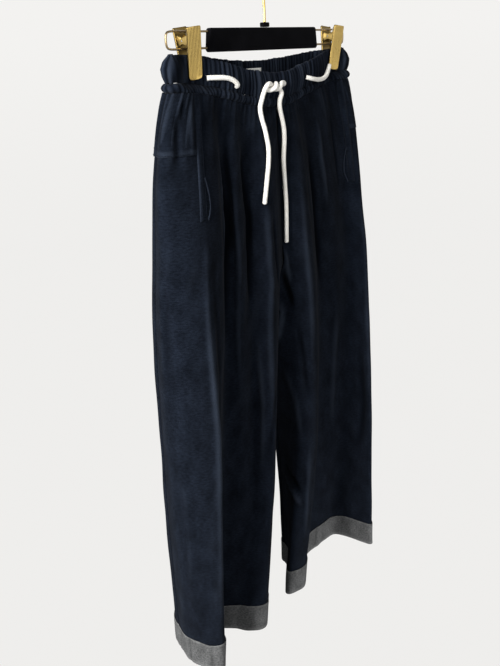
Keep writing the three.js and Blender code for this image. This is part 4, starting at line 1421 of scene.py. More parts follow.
@dataclass
class Overlays:
    """One side's yoke and pocket edge, which lie on the leg panels, and its turned-up cuff.

    Args:
        pocket_place: The pocket line's place on the right and the left front panel.
        strip_profile: Heights across the pocket's edge, as shares of its cloth.
        roll_route: The facing's curl, as places past the pocket's edge and heights.
    """

    legs: Legs
    finishes: Finishes
    side: Side
    yoke_edge: float = -232.0
    pocket_end: float = -312.0
    yoke_cloth: float = 1.2
    edge_cloth: float = 1.5
    cuff_height: float = 42.0
    cuff_cloth: float = 1.0
    leg_cloth: float = 2.0
    pocket_place: tuple[float, float] = (2.667, 2.333)
    pocket_width: float = 0.34
    yoke_rows: int = 34
    yoke_edge_rows: int = 3
    # How strongly the yoke's lower edge takes a painted highlight.
    edge_highlight: float = 0.7
    pocket_rows: int = 70
    strip_cloth: float = 0.4
    # Painted highlight across the pocket's edge strip.
    strip_highlight: tuple[float, ...] = (0.5, 0.35, 0.1, 0, 0, 0.1, 0.2)
    strip_profile: tuple[float, ...] = (0.3, 1.0, 1.15, 1.1, 1.0, 0.7, 0.1)
    roll_radius: float = 0.96
    roll_off: float = 1.6
    # Painted highlight on the facing's curl.
    roll_highlight: float = 0.6
    sheet_least: float = 0.01
    roll_route: tuple[tuple[float, float], ...] = (
        (-0.03, -260.0), (0.12, -274.0), (0.22, -288.0), (0.21, -299.0), (0.04, -311.0),
    )
    cuff_turn: float = 4.0
    cuff_rows: int = 15
    cuff_crease_count: int = 13

    @property
    def front(self) -> str:
        """The name of the side's front panel."""
        return f"leg_front_{self.side.value}"

    @property
    def pocket_start(self) -> float:
        """The pocket line's place on this side's front panel."""
        return self.pocket_place[self.side is Side.LEFT]

    def on_front(self, places: Array, shares: Array, out: float) -> Array:
        """Points on the side's front panel, moved out by some millimetres."""
        return self.legs.surface(self.side, Face.FRONT, places, shares, out)[0]

    def wrap(self, start: float, shares: Array, out: float) -> tuple[Array, Array, Array]:
        """Points from a place on the front round the outseam to the centre back.

        Args:
            start: The place on the front panel.
            shares: Shares of the way down.
            out: How far off the panels, in millimetres.

        Returns:
            The points, their rise, and their UV in millimetres.
        """
        front = self.legs.places(self.side, Face.FRONT)
        front = np.append(front[front < start - 0.01], start)[::-1]
        back = self.legs.places(self.side, Face.BACK)
        points, rise, uv = self.legs.surface(self.side, Face.FRONT, front, shares, out)
        more, more_rise, more_uv = self.legs.surface(self.side, Face.BACK, back, shares, out)
        seam = 0.5 * (points[-1] + more[0])
        points = np.concatenate([points[:-1], seam[None], more[1:]])
        return points, np.concatenate([rise, more_rise[1:]]), np.concatenate([uv, more_uv[1:]])

    def yoke(self) -> None:
        """Makes a yoke, lapped over the leg."""
        rows = self.yoke_rows
        shares = self.legs.shares(0.0, float(self.legs.form.share_of(self.yoke_edge)), rows)
        points, rise, uv = self.wrap(self.pocket_start, shares, GAP + self.yoke_cloth)
        faces = grid_faces(len(points), rows, flip=self.side is Side.LEFT)
        piece = mesh_object(f"yoke_panel_{self.side.value}", points, faces, self.finishes.navy, "navy_twill")
        paint_uv(piece, uv)
        # Painted highlight along the yoke's lower edge, over the ridges' wear and the painted fold shade.
        edge = np.zeros(points.shape[:2])
        edge[:, -self.yoke_edge_rows :] = self.edge_highlight
        shade_folds(piece, rise, edge)
        thicken(piece, self.yoke_cloth)
        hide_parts(f"yoke_{self.side.value}")
        walked = float(run_of(points[:, rows // 2])[-1])

    def pocket_edge(self) -> None:
        """Makes the folded edge of the front panel along the slant pocket's mouth."""
        rows = self.pocket_rows
        shares = self.legs.shares(0.0, float(self.legs.form.share_of(self.pocket_end)), rows)
        profile = np.array(self.strip_profile) * self.edge_cloth + GAP
        places = self.pocket_start + np.linspace(0, self.pocket_width, len(profile))
        fade = smooth((1 - np.linspace(0, 1, rows)) / 0.22) * 0.85 + 0.15
        flat = self.on_front(places, shares, GAP)
        raised = [self.on_front(places, shares, out)[i] for i, out in enumerate(profile)]
        points = lerp(flat, np.stack(raised), fade[None, :, None])
        uv = self.legs.surface(self.side, Face.FRONT, places, shares)[2]
        faces = grid_faces(len(places), rows, flip=self.side is Side.RIGHT)
        name = f"pocket_mouth_{self.side.value}"
        piece = mesh_object(name, points, faces, self.finishes.navy, "navy_twill")
        paint_uv(piece, uv)
        # Painted highlight across the edge strip, strongest at its folded edge.
        paint(piece, "wear_and_highlight", np.repeat(self.strip_highlight, rows))
        thicken(piece, self.strip_cloth)
        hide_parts(f"pocket_edge_{self.side.value}")
        width = float(np.ptp(uv[:, 0, 0])) + 2 * self.edge_cloth

    def facing_roll(self) -> None:
        """Makes the facing's curled edge, which stands out of the pocket's mouth near its foot."""
        edge = self.pocket_start + self.pocket_width
        route = []
        for place, z in self.roll_route:
            places = edge + place + PLACE_STEP
            shares = float(self.legs.form.share_of(z)) + SHARE_STEP
            route.append(tuple(self.on_front(places, shares, self.roll_off)[0, 0]))
        line = smooth_route(route, 60)
        name = f"facing_roll_{self.side.value}"
        piece = tube(name, line, self.roll_radius, self.finishes.navy, "navy_twill", sides=12)
        # Painted highlight all along the curl.
        paint(piece, "wear_and_highlight", np.full(len(piece.data.vertices), self.roll_highlight))
        length = float(run_of(line)[-1])

    def cuff_creases(self, walked: Array) -> Array:
        """Narrow upright creases round a cuff, at uneven places.

        Args:
            walked: How far each column lies round the cuff.

        Returns:
            How strongly each column is creased, from 0 to 1.
        """
        dice = np.random.default_rng(60 + self.side.sign)
        creases = np.zeros_like(walked)
        for place in np.arange(0.5, self.cuff_crease_count) / self.cuff_crease_count:
            middle = walked[-1] * (place + dice.uniform(-0.03, 0.03))
            creases += dice.uniform(0.3, 1.0) * np.exp(-(((walked - middle) / dice.uniform(1.2, 2.6)) ** 2))
        return clamp01(creases)

    def ring(self, shares: Array, out: float) -> Array:
        """Points all round a leg, with its seams closed.

        Args:
            shares: Shares of the way down.
            out: How far off the panels, in millimetres.

        Returns:
            Points with one row for each column round the leg.
        """
        front = self.on_front(self.legs.places(self.side, Face.FRONT)[::-1], shares, out)
        back = self.legs.surface(self.side, Face.BACK, self.legs.places(self.side, Face.BACK), shares, out)[0]
        back[-1] = front[0] = 0.5 * (back[-1] + front[0])
        front[-1] = back[0] = 0.5 * (front[-1] + back[0])
        return np.concatenate([front, back[1:-1]])

    def cuff(self) -> None:
        """Makes a turn-up, which shows the cloth's grey reverse and turns under the hem."""
        form = self.legs.form
        rows = self.cuff_rows
        shares = np.linspace(float(form.share_of(form.hem + self.cuff_height)), 1.0, rows)
        outer, inner, under = (
            self.ring(shares, out) for out in (GAP + self.cuff_cloth, GAP, -self.leg_cloth)
        )
        walked = run_of(outer[:, rows // 2])
        wave = clouds(walked, np.zeros_like(walked), 71 + self.side.sign, 30, 150)
        dents = clouds(walked[:, None], np.linspace(0, self.cuff_height, rows)[None, :], 83, 16, 60)
        outward = (outer - inner) / np.linalg.norm(outer - inner, axis=-1, keepdims=True)
        easing = np.linspace(1, 0, rows) ** 2
        creases = self.cuff_creases(walked)[:, None] * np.linspace(0.6, 1, rows)[None, :]
        relief = 0.4 * dents + 0.15 * (1 + wave)[:, None] * easing[None, :] - 0.9 * creases
        lift = np.array([0.0, 0.0, 1.0])
        top_wave = (0.8 * wave)[:, None, None] * lift * easing[None, :, None]
        outer = outer + outward * relief[..., None] + top_wave
        inner = inner + top_wave
        lip = 0.5 * (outer[:, :1] + inner[:, :1] + lift)
        foot = -(self.cuff_cloth + GAP)
        roll = [
            outer[:, -1:] + lift * foot * 0.35,
            lerp(outer[:, -1:], under[:, -1:], 0.18) + lift * foot * 0.85,
            lerp(outer[:, -1:], under[:, -1:], 0.5) + lift * foot,
            lerp(outer[:, -1:], under[:, -1:], 0.82) + lift * foot * 0.85,
            under[:, -1:] + lift * foot * 0.35,
            under[:, -1:] - lift * GAP,
            inner[:, -1:] - lift * GAP,
        ]
        points = np.concatenate([lip, outer[:, :-1], *roll, inner[:, -2::-3]], axis=1)
        around = points.shape[1]
        faces = grid_faces(len(points), around, ring=True, tube=True, flip=self.side is Side.LEFT)
        name = f"turn_up_{self.side.value}"
        piece = mesh_object(name, points, faces, self.finishes.reverse, "grey_reverse")
        down = run_of(points[0])
        paint_uv(piece, np.stack(np.broadcast_arrays(walked[:, None], -down[None, :]), -1))
        # Wear with a painted highlight on the folded lip and along the roll at the foot.
        wear_and_highlight = np.zeros((len(points), around))
        wear_and_highlight[:, :2] = 0.5
        wear_and_highlight[:, rows - 1 : rows + 3] = 0.6
        paint(piece, "wear_and_highlight", wear_and_highlight)
        # Painted shade in the upright creases and the dents.
        painted_shade = np.zeros((len(points), around))
        painted_shade[:, 1:rows] = 0.75 * creases[:, :-1] + 0.25 * clamp01(-dents[:, :-1])
        paint(piece, "painted_shade", painted_shade)
        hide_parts(f"cuff_{self.side.value}")

    def build(self) -> None:
        """Makes the side's overlays."""
        self.yoke()
        self.pocket_edge()
        self.facing_roll()
        self.cuff()


# Sewing


class StitchTree:
    """Geometry nodes that lay a thread stitch at every pitch along a piece's edges."""

    INPUTS = (
        ("Stitch Pitch", "NodeSocketFloat", 0.0032),
        ("Stitch Length", "NodeSocketFloat", 0.0024),
        ("Thread Radius", "NodeSocketFloat", 0.00028),
        ("Seed", "NodeSocketInt", 7),
        ("Thread", "NodeSocketMaterial", None),
    )

    def __init__(self) -> None:
        """Builds the tree."""
        self.tree = bpy.data.node_groups.new("topstitch", "GeometryNodeTree")
        face = self.tree.interface
        face.new_socket("Geometry", in_out="INPUT", socket_type="NodeSocketGeometry")
        self.sockets = {}
        for name, kind, value in self.INPUTS:
            socket = face.new_socket(name, in_out="INPUT", socket_type=kind)
            if value is not None:
                socket.default_value = value
            self.sockets[name] = socket.identifier
        face.new_socket("Geometry", in_out="OUTPUT", socket_type="NodeSocketGeometry")
        add = self.tree.nodes.new
        start, end = add("NodeGroupInput"), add("NodeGroupOutput")
        curve, resample = add("GeometryNodeMeshToCurve"), add("GeometryNodeResampleCurve")
        resample.mode = "LENGTH"
        tangent, align = add("GeometryNodeInputTangent"), add("FunctionNodeAlignRotationToVector")
        align.axis = "Z"
        stitch, place = add("GeometryNodeMeshCylinder"), add("GeometryNodeInstanceOnPoints")
        stitch.inputs["Vertices"].default_value = 6
        vary = add("FunctionNodeRandomValue")
        vary.data_type = "FLOAT"
        vary.inputs[2].default_value = 0.88
        vary.inputs[3].default_value = 1.08
        realize, paint = add("GeometryNodeRealizeInstances"), add("GeometryNodeSetMaterial")
        for source, output, target, socket in (
            (start, "Geometry", curve, "Mesh"),
            (curve, "Curve", resample, "Curve"),
            (start, "Stitch Pitch", resample, "Length"),
            (resample, "Curve", place, "Points"),
            (start, "Thread Radius", stitch, "Radius"),
            (start, "Stitch Length", stitch, "Depth"),
            (stitch, "Mesh", place, "Instance"),
            (tangent, "Tangent", align, "Vector"),
            (align, "Rotation", place, "Rotation"),
            (start, "Seed", vary, "Seed"),
            (vary, 1, place, "Scale"),
            (place, "Instances", realize, "Geometry"),
            (realize, "Geometry", paint, "Geometry"),
            (start, "Thread", paint, "Material"),
            (paint, "Geometry", end, "Geometry"),
        ):
            self.tree.links.new(source.outputs[output], target.inputs[socket])

    def sew(self, name: str, lines: list[Array], thread: Material, **sizes: float) -> None:
        """Makes a run of stitches into a plain mesh.

        Args:
            name: The piece's name.
            lines: The stitch lines in millimetres.
            thread: The thread's finish.
            sizes: Inputs other than the tree's own, by name with spaces as underscores.
        """
        points, edges = [], []
        for line in lines:
            first = len(points)
            points.extend((line * MM).tolist())
            edges.extend((first + i, first + i + 1) for i in range(len(line) - 1))
        guide_mesh = bpy.data.meshes.new(f"{name}_guide")
        guide_mesh.from_pydata(points, edges, [])
        guide = bpy.data.objects.new(f"{name}_guide", guide_mesh)
        bpy.context.scene.collection.objects.link(guide)
        sewing = guide.modifiers.new("sewing", "NODES")
        sewing.node_group = self.tree
        sewing[self.sockets["Thread"]] = thread
        for key, value in sizes.items():
            sewing[self.sockets[key.replace("_", " ")]] = value
        depsgraph = bpy.context.evaluated_depsgraph_get()
        mesh = bpy.data.meshes.new_from_object(guide.evaluated_get(depsgraph))
        bpy.data.objects.remove(guide)
        mesh.name = name
        if not mesh.materials:
            mesh.materials.append(thread)
        add_piece(name, mesh, "navy_twill")


@dataclass
class Sewing:
    """The topstitching on one side's yoke and pocket."""

    overlays: Overlays
    tree: StitchTree
    yoke_rows: tuple[float, float] = (1.8, 9.5)
    pocket_rows: tuple[float, float] = (0.22, 0.84)
    past_pocket: float = 0.05
    sunk: float = 0.1

    def yoke_lines(self) -> list[Array]:
        """Two rows above the yoke's edge.

        Returns:
            The lines.
        """
        lines = []
        over = self.overlays
        start = over.pocket_start - self.past_pocket
        out = GAP + over.yoke_cloth + self.sunk
        for up in self.yoke_rows:
            shares = float(over.legs.form.share_of(over.yoke_edge + up)) + SHARE_STEP
            lines.append(over.wrap(start, shares, out)[0][::2, 0])
        return lines

    def pocket_lines(self) -> list[Array]:
        """Two rows beside the pocket's mouth, one near its edge and one near the strip's far side.

        Returns:
            The lines.
        """
        over = self.overlays
        shares = np.linspace(0.004, float(over.legs.form.share_of(over.pocket_end + 2)), 90)
        out = GAP + over.edge_cloth + self.sunk
        lines = []
        for part in self.pocket_rows:
            places = over.pocket_start + over.pocket_width * part + PLACE_STEP
            lines.append(over.on_front(places, shares, out)[0])
        return lines

    def build(self) -> None:
        """Sews every row."""
        side, thread = self.overlays.side.value, self.overlays.finishes.thread
        self.tree.sew(f"yoke_stitches_{side}", self.yoke_lines(), thread)
        self.tree.sew(f"pocket_stitches_{side}", self.pocket_lines(), thread)


# Cords and wires


def smooth_route(points: list[Point], steps: int) -> Array:
    """Points at even distances along the smooth line through a route.

    Args:
        points: The route's points.
        steps: How many spans to make.

    Returns:
        The points, in the route's own unit.
    """
    knots = np.array(points, dtype=float)
    padded = np.concatenate([[2 * knots[0] - knots[1]], knots, [2 * knots[-1] - knots[-2]]])
    fine = []
    for p0, p1, p2, p3 in zip(padded, padded[1:], padded[2:], padded[3:]):
        t01, t12, t23 = (max(1e-9, np.linalg.norm(b - a)) ** 0.5 for a, b in ((p0, p1), (p1, p2), (p2, p3)))
        m1 = (p2 - p1) + t12 * ((p1 - p0) / t01 - (p2 - p0) / (t01 + t12))
        m2 = (p2 - p1) + t12 * ((p3 - p2) / t23 - (p3 - p1) / (t12 + t23))
        t = np.linspace(0, 1, 24, endpoint=False)[:, None]
        fine.append(hermite(p1, p2, m1, m2, t))
    line = np.concatenate([*fine, knots[-1:]])
    walked = run_of(line)
    even = np.linspace(0, walked[-1], steps + 1)
    return np.stack([np.interp(even, walked, line[:, k]) for k in range(3)], -1)


def tube(
    name: str,
    line: Array,
    radius: float,
    material: Material,
    slot: str,
    sides: int = 16,
    rounded: bool = True,
) -> Piece:
    """A round cord or wire with closed ends and a UV map in metres.

    Args:
        name: The piece's name.
        line: Points along its middle, in millimetres.
        radius: Its radius in millimetres.
        material: Its finish.
        slot: The record's material slot.
        sides: Points round it.
        rounded: Whether its ends are domed.

    Returns:
        The piece.
    """
    way = np.gradient(line, axis=0)
    way /= np.linalg.norm(way, axis=-1, keepdims=True)
    side = np.cross(way[0], [0.0, 1.0, 0.0] if abs(way[0][1]) < 0.9 else [1.0, 0.0, 0.0])
    frames = []
    for step in way:
        side = side - step * (side @ step)
        side /= np.linalg.norm(side)
        frames.append((side.copy(), np.cross(step, side)))
    rings = [(i, 0.0, radius) for i in range(len(line))]
    if rounded:
        ends = [(radius * 0.22 * k, radius * math.cos(math.asin(0.22 * k / 0.72))) for k in (1, 2, 3)]
        rings = [(0, -ahead, r) for ahead, r in reversed(ends)] + rings
        rings += [(len(line) - 1, ahead, r) for ahead, r in ends]
    angle = np.linspace(0, math.tau, sides + 1)
    points = np.zeros((len(rings), sides + 1, 3))
    uv = np.zeros((len(rings), sides + 1, 2))
    walked = run_of(line)
    for n, (i, ahead, r) in enumerate(rings):
        u, v = frames[i]
        circle = np.cos(angle)[:, None] * u + np.sin(angle)[:, None] * v
        points[n] = line[i] + way[i] * ahead + circle * r
        uv[n] = np.stack([angle * radius, np.full(sides + 1, walked[i] + ahead)], -1)
    faces = grid_faces(len(rings), sides, tube=True, flip=True)
    last = (len(rings) - 1) * sides
    faces += [tuple(reversed(range(sides))), tuple(range(last, last + sides))]
    piece = mesh_object(name, points[:, :-1], faces, material, slot)
    corners = grid_faces(len(rings), sides + 1, flip=True)
    last = (len(rings) - 1) * (sides + 1)
    corners += [tuple(reversed(range(sides))), tuple(range(last, last + sides))]
    layer = piece.data.uv_layers.new(name="cloth")
    layer.uv.foreach_set("vector", (uv.reshape(-1, 2)[np.concatenate(corners)] * MM).ravel().tolist())
    return piece


@dataclass(frozen=True)
class CordRun:
    """One visible run of the drawstring.

    Args:
        name: The piece's name.
        nodes: The solids it stands for.
        route: Its route in metres.
        far_end: What it ends in.
        lay: How it lies; not used.
    """

    name: str
    nodes: tuple[str, ...]
    route: tuple[Point, ...]
    far_end: str
    lay: str


RUNS: tuple[CordRun, ...] = (
    CordRun(
        "cord_stretch_right",
        ("drawstring_right_stretch",),
        (
            (-0.0795, -0.0182, -0.1570), (-0.0799, -0.0203, -0.1566), (-0.0820, -0.0224, -0.1544),
            (-0.0865, -0.0224, -0.1508), (-0.0930, -0.0212, -0.1476), (-0.1010, -0.0194, -0.1460),
            (-0.1090, -0.0172, -0.1454), (-0.1160, -0.0140, -0.1452), (-0.1224, -0.0102, -0.1452),
        ),
        "object",
        "taut",
    ),
    CordRun(
        "cord_stretch_left",
        ("drawstring_left_stretch",),
        (
            (0.0660, -0.0163, -0.1534), (0.0690, -0.0194, -0.1545), (0.0760, -0.0206, -0.1560),
            (0.0880, -0.0200, -0.1575), (0.1000, -0.0186, -0.1572), (0.1100, -0.0168, -0.1548),
            (0.1180, -0.0142, -0.1506), (0.1245, -0.0118, -0.1452), (0.1288, -0.0104, -0.1394),
        ),
        "object",
        "taut",
    ),
    CordRun(
        "cord_short_end",
        ("drawstring_knot_short", "drawstring_short_end"),
        (
            (0.0080, -0.0220, -0.1594), (0.0066, -0.0246, -0.1590), (0.0034, -0.0274, -0.1576),
            (-0.0024, -0.0294, -0.1570), (-0.0088, -0.0325, -0.1592), (-0.0120, -0.0325, -0.1628),
            (-0.0152, -0.0295, -0.1645), (-0.0185, -0.0265, -0.1628), (-0.0218, -0.0265, -0.1592),
            (-0.0274, -0.0292, -0.1570), (-0.0326, -0.0302, -0.1580), (-0.0364, -0.0292, -0.1624),
            (-0.0382, -0.0261, -0.1704), (-0.0389, -0.0254, -0.1740), (-0.0420, -0.0257, -0.1795),
            (-0.0445, -0.0262, -0.1850), (-0.0450, -0.0270, -0.1910), (-0.0430, -0.0276, -0.2010),
            (-0.0400, -0.0286, -0.2110), (-0.0380, -0.0300, -0.2230), (-0.0365, -0.0312, -0.2360),
            (-0.0370, -0.0318, -0.2460), (-0.0390, -0.0324, -0.2590), (-0.0420, -0.0328, -0.2720),
            (-0.0450, -0.0326, -0.2880), (-0.0480, -0.0316, -0.3080),
        ),
        "bare",
        "hanging",
    ),
    CordRun(
        "cord_long_end",
        ("drawstring_knot_long", "drawstring_long_end"),
        (
            (-0.0304, -0.0220, -0.1636), (-0.0296, -0.0248, -0.1640), (-0.0272, -0.0284, -0.1649),
            (-0.0218, -0.0325, -0.1628), (-0.0185, -0.0325, -0.1592), (-0.0152, -0.0295, -0.1575),
            (-0.0120, -0.0265, -0.1592), (-0.0088, -0.0265, -0.1628), (-0.0060, -0.0286, -0.1658),
            (-0.0049, -0.0298, -0.1704), (-0.0057, -0.0282, -0.1763), (-0.0058, -0.0272, -0.1800),
            (-0.0048, -0.0260, -0.1860), (-0.0025, -0.0252, -0.1930), (0.0010, -0.0246, -0.2020),
            (0.0050, -0.0242, -0.2160), (0.0060, -0.0240, -0.2290), (0.0050, -0.0238, -0.2420),
            (0.0040, -0.0234, -0.2580), (0.0050, -0.0232, -0.2770), (0.0060, -0.0234, -0.2970),
            (0.0070, -0.0236, -0.3170), (0.0070, -0.0236, -0.3370), (0.0070, -0.0232, -0.3550),
            (0.0070, -0.0228, -0.3730),
        ),
        "bare",
        "hanging",
    ),
)


@dataclass
class Drawstring:
    """The drawstring: a stretch at each clip, and two ends that hang from a half knot."""

    finishes: Finishes
    radius: float = 3.0
    step: float = 1.6

    def build(self) -> None:
        """Makes each run and logs its length."""
        for run in RUNS:
            route = [tuple(v / MM for v in point) for point in run.route]
            rough = sum(math.dist(a, b) for a, b in zip(route, route[1:]))
            line = smooth_route(route, int(rough / self.step))
            bare = run.far_end == "bare"
            piece = tube(run.name, line, self.radius, self.finishes.cord, "cord", rounded=bare)
            length = float(run_of(line)[-1])
            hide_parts(*run.nodes)
            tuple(run.route[0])
            LOG.info("%s: %.1f mm long", run.name, length)


# Hanger


@dataclass
class Hanger:
    """The bar hanger: a flocked bar and neck, a wire hook and two wire loops."""

    finishes: Finishes
    bar_width: float = 213.0
    bar_spread: float = 2.5
    bar_height: float = 28.0
    bar_thickness: float = 8.0
    bar_top: float = -88.0
    bar_corner: float = 4.0
    neck_width: float = 12.0
    neck_height: float = 5.7
    neck_thickness: float = 7.0
    hook_wire: float = 1.75
    hook_inside: float = 22.0
    hook_bend: tuple[float, float, float] = (-52.0, 3.2, 5.5)
    hook_arc: tuple[float, ...] = (-48, -24, 0, 25, 50, 75, 100, 125, 150, 175, 196)
    loop_wire: float = 1.3
    loop_top: float = -92.0
    loop_bottom: float = -111.0
    loop_end: float = 176.0
    loop_corner: float = 5.0
    loop_cut: float = 1.5

    def slab(
        self, name: str, size: Point, top: float, corner: float, roll: float, spread: float, node: str
    ) -> None:
        """A flat bar with rounded corners and softened edges.

        Args:
            name: The piece's name.
            size: Width, height and thickness.
            top: Its top's height.
            corner: The corners' radius.
            roll: The edges' radius.
            spread: How much further its foot reaches than its top at each end.
            node: The solid it stands for.
        """
        width, height, thickness = size
        turns = np.linspace(0, math.pi / 2, 7)
        outline = []
        for cx, cz, start in ((1, 1, 0), (-1, 1, 1), (-1, -1, 2), (1, -1, 3)):
            for turn in turns + start * math.pi / 2:
                x = cx * (width / 2 - corner) + corner * math.cos(turn)
                z = top - height / 2 + cz * (height / 2 - corner) + corner * math.sin(turn)
                outline.append((x + cx * spread * clamp01((top - corner - z) / (height - 2 * corner)), z))
        outline = np.array(outline)
        middle = np.array([0.0, top - height / 2])
        shrink = 1 - roll / np.array([width / 2, height / 2])
        rings = []
        for tilt in np.linspace(-math.pi / 2, math.pi / 2, 9):
            inset = lerp(middle + (outline - middle) * shrink, outline, math.cos(tilt))
            y = math.copysign(thickness / 2 - roll, tilt) + roll * math.sin(tilt) if tilt else 0.0
            rings.append(np.stack([inset[:, 0], np.full(len(inset), y), inset[:, 1]], -1))
        points = np.concatenate(rings)
        count = len(outline)
        faces = grid_faces(len(rings), count, tube=True)
        last = (len(rings) - 1) * count
        faces += [tuple(range(count)), tuple(reversed(range(last, last + count)))]
        piece = mesh_object(name, points, faces, self.finishes.flock, "black_flock")
        piece.data.polygons.foreach_set("use_smooth", [len(f) == 4 for f in faces])
        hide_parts(node)

    def hook(self) -> None:
        """The hook: a straight stem, a bend to one side and an arc over the rail."""
        radius = self.hook_inside + self.hook_wire
        foot = self.bar_top + GAP + self.neck_height + GAP
        start, bend_x, bend_z = self.hook_bend
        route = [(0.0, 0.0, foot), (0.0, 0.0, (foot + start) / 2), (0.0, 0.0, start)]
        route.append((bend_x, 0.0, start + bend_z))
        for degrees in self.hook_arc:
            turn = math.radians(degrees)
            route.append((radius * math.cos(turn), 0.0, -self.hook_inside + radius * math.sin(turn)))
        line = smooth_route(route, 150)
        piece = tube("hook_wire", line, self.hook_wire, self.finishes.gold, "gold_metal")
        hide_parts("hanger_hook")

    def loop(self, side: Side) -> None:
        """The wire loop at one end of the bar, on which a clip slides.

        Args:
            side: The loop's side.
        """
        bend, cut = self.loop_end - self.loop_corner, self.loop_cut
        top, bottom, corner = self.loop_top, self.loop_bottom, self.loop_corner
        slant = self.bar_height - 2 * self.bar_corner
        start, end = (
            self.bar_width / 2
            + self.bar_spread * clamp01((self.bar_top - self.bar_corner - z + self.loop_wire) / slant)
            + GAP
            for z in (top, bottom)
        )
        middle = (self.bar_width / 2 + bend) / 2
        route = [
            (start, top), (middle, top), (bend, top), (self.loop_end - cut, top - cut),
            (self.loop_end, top - corner), (self.loop_end, bottom + corner),
            (self.loop_end - cut, bottom + cut), (bend, bottom), (middle, bottom), (end, bottom),
        ]
        line = smooth_route([(side.sign * x, 0.0, z) for x, z in route], 120)
        name = f"clip_rail_{side.value}"
        piece = tube(name, line, self.loop_wire, self.finishes.bronze, "gold_metal", rounded=False)
        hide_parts(f"wire_loop_{side.value}")

    def build(self) -> None:
        """Makes the hanger's own pieces."""
        bar = (self.bar_width, self.bar_height, self.bar_thickness)
        neck = (self.neck_width, self.neck_height, self.neck_thickness)
        self.slab("hanger_rail_bar", bar, self.bar_top, self.bar_corner, 1.4, self.bar_spread, "hanger_bar")
        self.slab("hanger_collar", neck, self.bar_top + GAP + self.neck_height, 1.5, 0.8, 0.0, "hanger_neck")
        self.hook()
        for side in Side:
            self.loop(side)


def moved(rows: Array, shift: Point, lean: float = 0.0) -> Array:
    """Points leaned about X by an angle in degrees, then shifted."""
    turn = np.array(Matrix.Rotation(math.radians(lean), 3, "X"))
    return np.asarray(rows, dtype=float).reshape(-1, 3) @ turn.T + np.array(shift)


@dataclass
class Solid:
    """Closed forms that are gathered into one mesh."""

    points: list = field(default_factory=list)
    faces: list = field(default_factory=list)
    painted_shade: list = field(default_factory=list)

    def add(self, points: Array, faces: list, painted_shade: Array | None = None) -> None:
        """Adds a form.

        Args:
            points: Its points.
            faces: Its faces.
            painted_shade: How much painted shade each point takes, where its hollows are darkened.
        """
        first = sum(len(p) for p in self.points)
        self.points.append(points)
        self.faces += [tuple(first + n for n in face) for face in faces]
        self.painted_shade.append(np.zeros(len(points)) if painted_shade is None else painted_shade)

    def rings(self, rings: list, flip: bool = False, painted_shade: Array | None = None) -> None:
        """Adds a form made of closed rings of points, capped at both ends.

        Args:
            rings: The rings.
            flip: Whether its faces are turned over.
            painted_shade: How much painted shade each point takes.
        """
        count = len(rings[0])
        last = (len(rings) - 1) * count
        faces = grid_faces(len(rings), count, tube=True, flip=flip)
        ends = [tuple(range(count)), tuple(reversed(range(last, last + count)))]
        self.add(np.concatenate(rings), faces + [end[::-1] if flip else end for end in ends], painted_shade)


